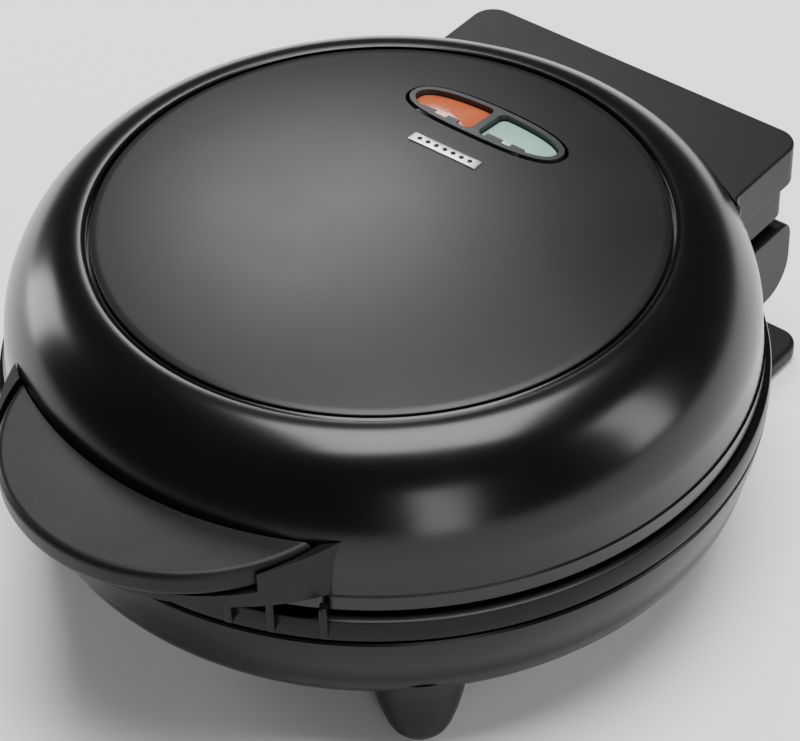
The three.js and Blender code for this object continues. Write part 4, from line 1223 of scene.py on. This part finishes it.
@dataclass
class Handle:
    """The front handle: a crescent cap over a winged skirt."""

    shop: Workshop
    lid: Lid
    cap_centre: float = -81.0
    cap_radius: float = 54.0
    cap_bottom: float = lowest("handle_cap", Z)
    cap_top: float = highest("handle_cap", Z)
    cap_wall: float = 2.6
    cap_round: float = 2.2
    cap_gap: float = 0.35
    cap_inner_round: float = 0.4
    skirt_centre: float = -70.4
    skirt_radius: float = 61.6
    skirt_tip_y: float = -92.5
    skirt_tip_bottom: float = 69.5
    skirt_rise: float = 6.5
    skirt_round: float = 0.7
    wing_root: float = 37.0
    wing_span: float = 46.0
    wing_low: float = 84.0
    wing_high: float = 87.6
    wing_gap: float = 1.3
    wing_tail: float = 4.0
    seam_gap: float = 0.3
    tail_y: float = -60.0
    tail_share: float = 0.98

    def swell(self, centre: float, radius: float) -> list[Flat]:
        """Draws an outline that swells to the front and closes behind the lid's wall."""
        tail = radius * self.tail_share
        return [*arc((0, centre), radius, 190, 350, 96), (tail, self.tail_y), (-tail, self.tail_y)]

    def underside(self, y: float) -> float:
        """Returns the height of the skirt's sloping underside at a place along Y."""
        front = self.skirt_centre - self.skirt_radius
        return self.skirt_tip_bottom + (self.skirt_tip_y - y) * self.skirt_rise / (self.skirt_tip_y - front)

    def cap(self) -> None:
        """Builds the crescent with its rounded edge and the hollow under it."""
        cap = prism("handle_crescent", self.swell(self.cap_centre, self.cap_radius), self.cap_bottom,
                    self.cap_top)
        soften(cap, self.cap_round, 6, 35)
        carve(cap, self.lid.clearance_form("lid form", self.cap_gap))
        soften(cap, self.cap_inner_round, 3, 35)
        hollow = prism("hollow", self.swell(self.cap_centre, self.cap_radius - self.cap_wall),
                       self.cap_bottom - OVERCUT, self.cap_top - self.cap_wall)
        carve(hollow, self.shop.post("wall room", self.lid.radius + self.cap_wall, 0, BEYOND))
        carve(cap, hollow)
        self.shop.finish(cap, Look.HANDLE, "lid", "handle_cap")

    def above_wings(self, side: int) -> bpy.types.Object:
        """Makes the tool that slopes one wing's top from the seam up to its tip.

        Args:
            side: -1 for the left wing, 1 for the right one.

        Returns:
            The tool.
        """
        slope = (self.wing_high - self.wing_low) / (self.skirt_radius - self.wing_span)
        tip = self.wing_low + slope * (BEYOND - self.wing_span)
        seam = self.cap_bottom - self.seam_gap
        roof = [(0, seam), (self.wing_root, seam), (self.wing_span, self.wing_low), (BEYOND, tip),
                (BEYOND, BEYOND), (0, BEYOND)]
        return front_prism("above wing", [(side * x, z) for x, z in roof], -BEYOND, self.tail_y)

    def skirt(self) -> None:
        """Builds the wedge-shaped skirt whose wings run back to the lid's wall."""
        skirt = prism("handle_wings", self.swell(self.skirt_centre, self.skirt_radius),
                      self.skirt_tip_bottom - OVERCUT, self.wing_high + OVERCUT)
        rear = self.tail_y
        below = side_prism("below", [(rear, 0), (rear, self.underside(rear)),
                                     (-BEYOND, self.underside(-BEYOND)), (-BEYOND, 0)], -BEYOND, BEYOND)
        carve(skirt, below)
        for side in SIDES.values():
            carve(skirt, self.above_wings(side))
        room = prism("cap room", self.swell(self.cap_centre, self.cap_radius + self.wing_gap),
                     self.cap_bottom - self.seam_gap, BEYOND)
        carve(skirt, room, self.lid.clearance_form("lid form", self.seam_gap),
              block("behind", (-BEYOND, self.skirt_tip_y + self.wing_tail, 0), (BEYOND, BEYOND, BEYOND)))
        soften(skirt, self.skirt_round)
        self.shop.finish(skirt, Look.HANDLE, "lid", "handle_skirt")


@dataclass
class Base:
    """The bowl-shaped base with its ribs, feet, hinge ears and rear housing."""

    shop: Workshop
    rim_radius: float = highest("base_shell", X)
    rim_top: float = 62.0
    rim_band: float = 7.5
    rim_edges: tuple[Flat, ...] = ((0.0, 1.0), (0.3, 0.3), (1.0, 0.0))
    groove_depth: float = 1.3
    groove_width: float = 1.3
    groove_edge: float = 0.3
    band_height: float = 16.0
    band_taper: float = 3.6
    band_swell: tuple[Flat, ...] = ((0.62, 0.72), (0.30, 0.42), (0.10, 0.15))
    band_edges: tuple[Flat, ...] = ((0.15, 0.7), (0.6, 0.0))
    inner_wall_share: float = 0.4
    bottom: float = lowest("base_shell", Z)
    curve_run: float = 30.0
    wall: float = 2.5
    lip_radius: float = 103.8
    rib_angles: tuple[float, ...] = (17.4, 23.4, 30.6)
    rib_width: float = 2.2
    rib_proud: float = 2.8
    rib_root: float = 0.4
    rib_top: float = highest("base_shell", Z)
    rib_bottom: float = 57.5
    rib_round: float = 0.45
    foot_angle: float = 44.0
    foot_distance: float = 92.0
    foot_steps: int = 72
    foot_profile: tuple[Flat, ...] = (
        (0, 1.0), (6.6, 1.0), (7.6, 1.3), (8.5, 2.4), (9.7, 5.0), (11.2, 10.0), (12.6, 16.0),
        (13.7, 22.0), (14.6, 27.0), (15.3, 30.0), (15.6, 31.5), (0, 31.5))
    pad_profile: tuple[Flat, ...] = ((0, 0), (5.2, 0), (5.7, 0.4), (5.7, 1.4), (0, 1.4))
    ear_front: float = 92.0
    ear_heel: float = 100.0
    ear_rear: float = highest("rear_housing", Y)
    ear_top: float = highest("rear_housing", Z)
    ear_bottom: float = 31.0
    ear_slope: float = 6.0
    ear_corners: Flat = (5.5, 12.0)
    ear_inner: float = 52.0
    ear_outer: float = highest("rear_housing", X)
    housing_half: float = 40.5
    housing_front: float = 90.0
    housing_rear: float = 121.5
    housing_bottom: float = lowest("rear_housing", Z)
    housing_corner: float = 6.0
    rear_round: float = 0.9
    bowl_room: float = 106.0

    def curve(self, inset: float, steps: int = 24) -> list[Flat]:
        """Draws the bowl's curve from the lower band round to its flat bottom.

        Args:
            inset: How far inside the bowl's outside the line runs.
            steps: Segments in the curve.

        Returns:
            The line's points as radius and height.
        """
        outer = self.rim_radius - self.band_taper - inset
        top = self.rim_top - self.rim_band - self.groove_width - self.band_height
        rise = top - self.bottom - inset
        turns = [i / steps * math.pi / 2 for i in range(steps + 1)]
        return [(outer - self.curve_run * (1 - math.cos(t)), top - rise * math.sin(t)) for t in turns]

    def bowl(self) -> None:
        """Builds the turned bowl with its rim, shadow groove and lower band."""
        rim, top = self.rim_radius, self.rim_top
        groove_top = top - self.rim_band
        band_top = groove_top - self.groove_width
        groove = rim - self.groove_depth
        inner = groove - self.wall
        profile = [
            (0, self.bottom), *reversed(self.curve(0)),
            *((rim - self.band_taper * taper, band_top - self.band_height * down)
              for taper, down in self.band_swell),
            *((rim - inset, band_top - down) for inset, down in self.band_edges), (groove, band_top),
            (groove, groove_top), (rim - self.groove_edge, groove_top), (rim, groove_top + self.groove_edge),
            *((rim - inset, top - down) for inset, down in self.rim_edges),
            (self.lip_radius, top), (self.lip_radius, top - self.wall), (inner, top - self.wall),
            (inner, band_top - self.band_height * self.inner_wall_share), *self.curve(self.wall),
            (0, self.bottom + self.wall),
        ]
        bowl = self.shop.turned("base_bowl", profile, FINEST_STEPS)
        self.shop.finish(bowl, Look.BASE, "base", "base_shell")

    def ribs(self) -> None:
        """Builds the upright ribs under the handle."""
        rib = block("rib", (-self.rib_width / 2, -self.rim_radius - self.rib_proud, self.rib_bottom),
                    (self.rib_width / 2, -self.rim_radius + self.rib_root, self.rib_top))
        soften(rib, self.rib_round)
        spots = [((0.0, 0.0, 0.0), side * angle) for angle in self.rib_angles for side in SIDES.values()]
        self.shop.finish(self.shop.copies("front_ribs", rib, spots, Look.BASE), Look.BASE, "base")

    def feet(self) -> None:
        """Builds the two tapered front feet and their rubber pads."""
        spots = []
        for side in SIDES.values():
            turn = math.radians(-90 + side * self.foot_angle)
            x, y = self.foot_distance * math.cos(turn), self.foot_distance * math.sin(turn)
            spots.append(((x, y, 0.0), 0.0))
        foot = self.shop.turned("foot", self.foot_profile, self.foot_steps)
        feet = self.shop.copies("front_feet", foot, spots, Look.BASE)
        self.shop.finish(feet, Look.BASE, "base", *both("front_foot"))
        pad = self.shop.turned("pad", self.pad_profile, SMALL_STEPS)
        pads = self.shop.copies("front_foot_pads", pad, spots, Look.RUBBER)
        self.shop.finish(pads, Look.RUBBER, "base", *both("foot_pad"))

    def rear(self) -> None:
        """Builds the hinge ears and the closed housing between them."""
        upper_corner, lower_corner = self.ear_corners
        ear = rounded([(self.ear_front, self.ear_bottom + self.ear_slope, 0),
                       (self.ear_front, self.ear_top, 0), (self.ear_rear, self.ear_top, upper_corner),
                       (self.ear_rear, self.ear_bottom, lower_corner), (self.ear_heel, self.ear_bottom, 0)])
        for name, side in SIDES.items():
            left, right = sorted((side * self.ear_inner, side * self.ear_outer))
            made = soften(side_prism(f"hinge_ear_{name}", ear, left, right), self.rear_round)
            self.shop.finish(made, Look.HANDLE, "base")
        shell = rounded([(self.housing_front, self.housing_bottom, 0), (self.housing_front, self.ear_top, 0),
                         (self.housing_rear, self.ear_top, self.housing_corner),
                         (self.housing_rear, self.housing_bottom, self.housing_corner)])
        housing = soften(side_prism("rear_housing", shell, -self.housing_half, self.housing_half),
                         self.rear_round)
        carve(housing, self.shop.post("bowl room", self.bowl_room, 0, BEYOND))
        self.shop.finish(housing, Look.HANDLE, "base", "rear_housing")


@dataclass
class Stand:
    """The rear stand at floor level that the cord wraps over, with its legs and pads."""

    shop: Workshop
    half: float = highest("rear_stand", X)
    front: float = lowest("rear_stand", Y)
    rear: float = highest("rear_stand", Y)
    low: float = lowest("rear_stand", Z)
    high: float = highest("rear_stand", Z)
    corner: float = 7.0
    edge: float = 1.6
    column_x: float = 30.0
    column_y: float = 109.5
    column_top: float = highest("stand_column_left", Z)
    column_radius: float = 8.0
    column_steps: int = 64
    neck_inset: float = 0.6
    collar: Flat = (1.2, 2.0)
    pad_x: float = 46.0
    pad_inset: float = 14.0
    pad_profile: tuple[Flat, ...] = ((0, 0), (6.0, 0), (6.7, 0.4), (6.7, 1.4), (0, 1.4))

    def build(self) -> None:
        """Builds the plate, its legs and its rubber pads."""
        plan = rounded([(-self.half, self.front, self.corner), (self.half, self.front, self.corner),
                        (self.half, self.rear, self.corner), (-self.half, self.rear, self.corner)], 10)
        plate = prism("stand_plate", plan, self.low, self.high)
        soften(plate, self.edge, 4)
        self.shop.finish(plate, Look.HANDLE, "base", "rear_stand")
        wide, low, top = self.column_radius, self.high, self.column_top
        neck = wide - self.neck_inset
        band, slope = self.collar
        profile = [(0, low), (wide, low), (wide, low + band), (neck, low + slope), (neck, top - slope),
                   (wide, top - band), (wide, top), (0, top)]
        column = self.shop.turned("column", profile, self.column_steps)
        places = [((side * self.column_x, self.column_y, 0.0), 0.0) for side in SIDES.values()]
        columns = self.shop.copies("stand_columns", column, places, Look.HANDLE)
        self.shop.finish(columns, Look.HANDLE, "base", *both("stand_column"))
        pad = self.shop.turned("pad", self.pad_profile, SMALL_STEPS)
        spots = [((side * self.pad_x, self.rear - self.pad_inset, 0.0), 0.0) for side in SIDES.values()]
        pads = self.shop.copies("stand_pads", pad, spots, Look.RUBBER)
        self.shop.finish(pads, Look.RUBBER, "base", *both("stand_pad"))


@dataclass
class CookingPlate:
    """One cast plate with seven ring moulds, facing up or down."""

    shop: Workshop
    name: str
    node: str
    body: str
    face: float
    facing_up: bool
    radius: float = highest("upper_plate", X)
    ring_outer: float = 30.333
    ring_depth: float = 10.5
    ring_gap: float = 3.0
    ring_count: int = 6
    ring_steps: int = 64
    metal: float = 2.4
    back_drop: float = 0.5
    lip: float = 0.9
    lip_steps: int = 5
    mould_steps: int = 28
    thickness: float = 3.0
    edges: tuple[Flat, ...] = ((0.8, 0.0), (0.2, 0.2), (0.0, 0.8))

    def ring_places(self) -> list[Flat]:
        """Lists the moulds' centres.

        Returns:
            Their places in plan, the middle one first.
        """
        pitch = 2 * self.ring_outer + self.ring_gap
        around = [(i + 0.5) / self.ring_count * FULL_TURN for i in range(self.ring_count)]
        return [(0.0, 0.0), *((pitch * math.cos(t), pitch * math.sin(t)) for t in around)]

    def back_section(self) -> list[Flat]:
        """Draws the outside of a mould's half section, which shows on the plate's back.

        Returns:
            The section's points as radius and height.
        """
        middle = self.ring_outer - self.ring_depth
        size = self.ring_depth + self.metal
        turns = [i / 24 * math.pi for i in range(25)]
        return [(middle + size * math.cos(t), -size * math.sin(t)) for t in turns]

    def mould_section(self) -> list[Flat]:
        """Draws the space of one mould, with rounded lips inside and outside its ring.

        Returns:
            The closed section's points as radius and height.
        """
        middle, lip, depth = self.ring_outer - self.ring_depth, self.lip, self.ring_depth
        turns = [i / self.mould_steps * math.pi for i in range(self.mould_steps + 1)]
        bowl = [(middle + depth * math.cos(t), -lip - (depth - lip) * math.sin(t)) for t in turns]
        lip_turns = [i / self.lip_steps * math.pi / 2 for i in range(self.lip_steps, 0, -1)]
        outer_lip = [(middle + depth + lip * (1 - math.cos(t)), -lip + lip * math.sin(t)) for t in lip_turns]
        inner_lip = [(2 * middle - r, z) for r, z in reversed(outer_lip)]
        above = 2 * OVERCUT
        return [(middle + depth + lip, above), *outer_lip, *bowl, *inner_lip, (middle - depth - lip, above)]

    def build(self) -> None:
        """Builds the plate by cutting rounded moulds into a cast disc with hollow-backed rings."""
        rim = [(self.radius - inset, -down) for inset, down in self.edges]
        disc = [(0, 0), *rim, (self.radius, -self.thickness), (0, -self.thickness)]
        plate = self.shop.turned(self.name, disc)
        back = self.shop.turned("backs", self.back_section(), self.ring_steps, closed=True)
        spots = [((x, y, -self.back_drop), 0.0) for x, y in self.ring_places()]
        for part in self.split_rings(self.shop.copies("ring_backs", back, spots, Look.PLATE)):
            carve(plate, part, how="UNION")
        for centre in self.ring_places():
            carve(plate, self.shop.turned("mould", self.mould_section(), self.ring_steps, centre, True))
        flip = Matrix.Identity(4) if self.facing_up else Matrix.Rotation(math.pi, 4, "X")
        plate.data.transform(Matrix.Translation(-AXIS))
        plate.data.transform(Matrix.Translation(AXIS + Vector((0, 0, self.face * MM))) @ flip)
        tidy(plate)
        self.shop.finish(plate, Look.PLATE, self.body, self.node)

    def split_rings(self, backs: bpy.types.Object) -> list[bpy.types.Object]:
        """Splits the copied ring backs into one object each, so that each is a closed solid.

        Args:
            backs: The object that holds all the copies; it is used up.

        Returns:
            One object for each mould.
        """
        rings = []
        places = len(self.ring_places())
        size = len(backs.data.vertices) // places
        faces = [tuple(p.vertices) for p in backs.data.polygons]
        for k in range(places):
            points = [tuple(v.co) for v in backs.data.vertices[k * size:(k + 1) * size]]
            kept = [[i - k * size for i in f] for f in faces if k * size <= f[0] < (k + 1) * size]
            rings.append(tidy(raw_object("ring back", points, [], kept)))
        drop(backs)
        return rings


@dataclass
class Fasteners:
    """Slotted screws, each set copied from one piece."""

    shop: Workshop
    head_radius: float = 3.6
    head_height: float = 2.4
    head_edges: tuple[Flat, ...] = ((0.6, 0.0), (0.15, 0.2), (0.0, 0.8))
    shank_radius: float = 1.8
    tip: float = 1.0
    slot_half: Flat = (5.0, 0.5)
    slot_depth: float = 0.9
    first_turn: float = 24.0
    next_turn: float = 61.0

    def screw(self, length: float) -> bpy.types.Object:
        """Makes one screw standing on its head, with a slot across it.

        Args:
            length: Its length over head and tip.

        Returns:
            The screw, about the lid's axis.
        """
        head = [(self.head_radius - inset, up) for inset, up in self.head_edges]
        profile = [(0, 0), *head, (self.head_radius, self.head_height), (self.shank_radius, self.head_height),
                   (self.shank_radius, length - self.tip), (0, length)]
        made = self.shop.turned("screw", profile, SMALL_STEPS)
        half_x, half_y = self.slot_half
        return carve(made, block("slot", (-half_x, -half_y, -OVERCUT), (half_x, half_y, self.slot_depth)))

    def set(self, name: str, nodes: Sequence[str], body: str, head_down: bool = True) -> None:
        """Puts a screw where each of the CAD screws is.

        Args:
            name: The name of the finished set.
            nodes: The CAD screws that it stands for.
            body: The body that holds them.
            head_down: False where the screws are driven from above.
        """
        boxes = [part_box(node) for node in nodes]
        length = (boxes[0][1].z - boxes[0][0].z) / MM
        piece = self.screw(length)
        if not head_down:
            piece.data.transform(Matrix.Translation(-AXIS))
            piece.data.transform(Matrix.Translation(AXIS) @ Matrix.Rotation(math.pi, 4, "X"))
        spots = []
        for i, (low, high) in enumerate(boxes):
            middle = (low + high) / 2 - AXIS
            height = low.z if head_down else high.z
            spots.append(((middle.x / MM, middle.y / MM, height / MM), self.first_turn + self.next_turn * i))
        made = self.shop.copies(name, piece, spots, Look.STEEL)
        self.shop.finish(tidy(made), Look.STEEL, body, *nodes)


@dataclass(frozen=True)
class SoftLight:
    """One soft rectangular light that looks at the object's middle, in metres and watts."""

    name: str
    place: Point
    size: Flat
    power: float

    def build(self) -> None:
        """Adds the light to the scene."""
        data = bpy.data.lights.new(self.name, "AREA")
        data.shape = "RECTANGLE"
        data.size, data.size_y = self.size
        data.energy = self.power
        lamp = bpy.data.objects.new(self.name, data)
        lamp.location = self.place
        look = Vector((0, 0, Studio.light_aim)) - Vector(self.place)
        lamp.rotation_euler = look.to_track_quat("-Z", "Y").to_euler()
        bpy.context.scene.collection.objects.link(lamp)


@dataclass
class Studio:
    """The pale floor, soft lights and camera round the object."""

    azimuth: float = 39.53
    elevation: float = 41.48
    roll: float = -1.60
    focal_pixels: float = 3043.3
    image_width: int = 800
    distance: float = 0.890
    target: Point = (0.00414, 0.00342, 0.0525)
    sensor: float = 36.0
    floor_half: float = 4.0
    paper_white: float = 0.9
    world_glow: float = 0.10
    light_aim: float = 0.05
    lights: tuple[SoftLight, ...] = (
        SoftLight("overhead", (0.1, 0.1, 1.9), (1.2, 1.2), 62),
        SoftLight("back_left", (-0.80, 0.78, 1.05), (0.5, 0.5), 9),
        SoftLight("left", (-1.25, -0.15, 0.28), (0.35, 0.6), 6),
        SoftLight("right", (1.2, 0.55, 0.55), (0.35, 0.9), 7),
        SoftLight("front", (1.15, -0.85, 0.45), (0.35, 0.9), 6),
    )

    def camera(self) -> None:
        """Places the camera at the object's three-quarter view from the front right."""
        turn, lift, roll = (math.radians(v) for v in (self.azimuth, self.elevation, self.roll))
        back = Vector((math.sin(turn) * math.cos(lift), -math.cos(turn) * math.cos(lift), math.sin(lift)))
        level = Vector((math.cos(turn), math.sin(turn), 0))
        rise = back.cross(level)
        right = level * math.cos(roll) + rise * math.sin(roll)
        up = rise * math.cos(roll) - level * math.sin(roll)
        data = bpy.data.cameras.new("camera")
        data.sensor_width = self.sensor
        data.lens = self.focal_pixels * self.sensor / self.image_width
        camera = bpy.data.objects.new("camera", data)
        axes = Matrix((right, up, back)).transposed().to_4x4()
        camera.matrix_world = Matrix.Translation(Vector(self.target) + back * self.distance) @ axes
        bpy.context.scene.collection.objects.link(camera)
        bpy.context.scene.camera = camera

    def floor(self) -> None:
        """Builds the pale floor."""
        half = self.floor_half
        corners = [(-half, -half, 0), (half, -half, 0), (half, half, 0), (-half, half, 0)]
        floor = raw_object("studio_floor", corners, [], [[0, 1, 2, 3]])
        paper = bpy.data.materials.new("studio_paper")
        paper.use_nodes = True
        shader = paper.node_tree.nodes["Principled BSDF"]
        shader.inputs["Base Color"].default_value = (self.paper_white, self.paper_white, self.paper_white, 1)
        shader.inputs["Roughness"].default_value = 0.9
        floor.data.materials.append(paper)

    def build(self) -> None:
        """Builds the floor, the surrounding glow and the lights."""
        self.floor()
        world = bpy.data.worlds.new("studio")
        world.use_nodes = True
        world.node_tree.nodes["Background"].inputs["Color"].default_value = (1, 1, 1, 1)
        world.node_tree.nodes["Background"].inputs["Strength"].default_value = self.world_glow
        bpy.context.scene.world = world
        for light in self.lights:
            light.build()


# --------------------------------------------------------------------- making


@dataclass
class DonutMaker:
    """The whole appliance, built one sub-assembly at a time."""

    shop: Workshop = field(default_factory=Workshop)
    dome: Dome = field(default_factory=Dome)
    oval: Oval = field(default_factory=Oval)

    def build_lid(self) -> None:
        """Builds everything that swings with the lid."""
        lid = Lid(self.shop, self.dome, self.oval)
        lid.shell()
        lid.hinge_block()
        lid.lugs(hinge_line())
        lid.panel()
        window = Window(self.shop, self.dome, self.oval)
        window.bezel()
        window.lenses()
        window.badge()
        handle = Handle(self.shop, lid)
        handle.cap()
        handle.skirt()

    def build_base(self) -> None:
        """Builds everything that stays on the table."""
        base = Base(self.shop)
        base.bowl()
        base.ribs()
        base.feet()
        base.rear()
        Stand(self.shop).build()

    def build_plates(self) -> None:
        """Builds the two cooking plates."""
        upper, lower = "upper_plate", "lower_plate"
        CookingPlate(self.shop, "upper_cooking", upper, "lid", lowest(upper, Z), False).build()
        CookingPlate(self.shop, "lower_cooking", lower, "base", highest(lower, Z), True).build()

    def build_fasteners(self) -> None:
        """Builds every screw that shows, and dresses the rest."""
        made = Fasteners(self.shop)
        made.set("handle_screws", both("handle_screw"), "lid")
        made.set("stand_screws", both("stand_screw"), "base")
        made.set("base_screws", [f"lower_plate_screw_{i}" for i in (1, 2, 3)], "base")
        made.set("lid_screws", [f"upper_plate_screw_{i}" for i in (1, 2, 3)], "lid", head_down=False)
        made.set("foot_screws", both("foot_screw"), "base", head_down=False)
        for kind in ("skirt_screw", "block_screw", "housing_screw", "hinge_pin"):
            self.shop.dress(Look.STEEL, *both(kind))

    def dress_inside(self) -> None:
        """Gives the sealed inner pieces their finishes."""
        self.shop.dress(Look.ELEMENT, "upper_element", "lower_element")
        self.shop.dress(Look.REFLECTOR, "upper_reflector", "lower_reflector")
        self.shop.dress(Look.CERAMIC, "thermostat", "terminal_block", "lamp_holder")
        self.shop.dress(Look.GLASS, "power_lamp", "ready_lamp")
        self.shop.dress(Look.SILVER, "thermal_fuse")
        self.shop.dress(Look.RUBBER, "cable_gland")


def main() -> None:
    logging.basicConfig(level=logging.INFO, format="%(message)s")
    studio = Studio()
    studio.camera()
    studio.build()
    maker = DonutMaker()
    for step in (maker.build_lid, maker.build_base, maker.build_plates, maker.build_fasteners,
                 maker.dress_inside):
        log.info("-- %s", step.__name__)
        step()


if __name__ == "__main__":
    main()
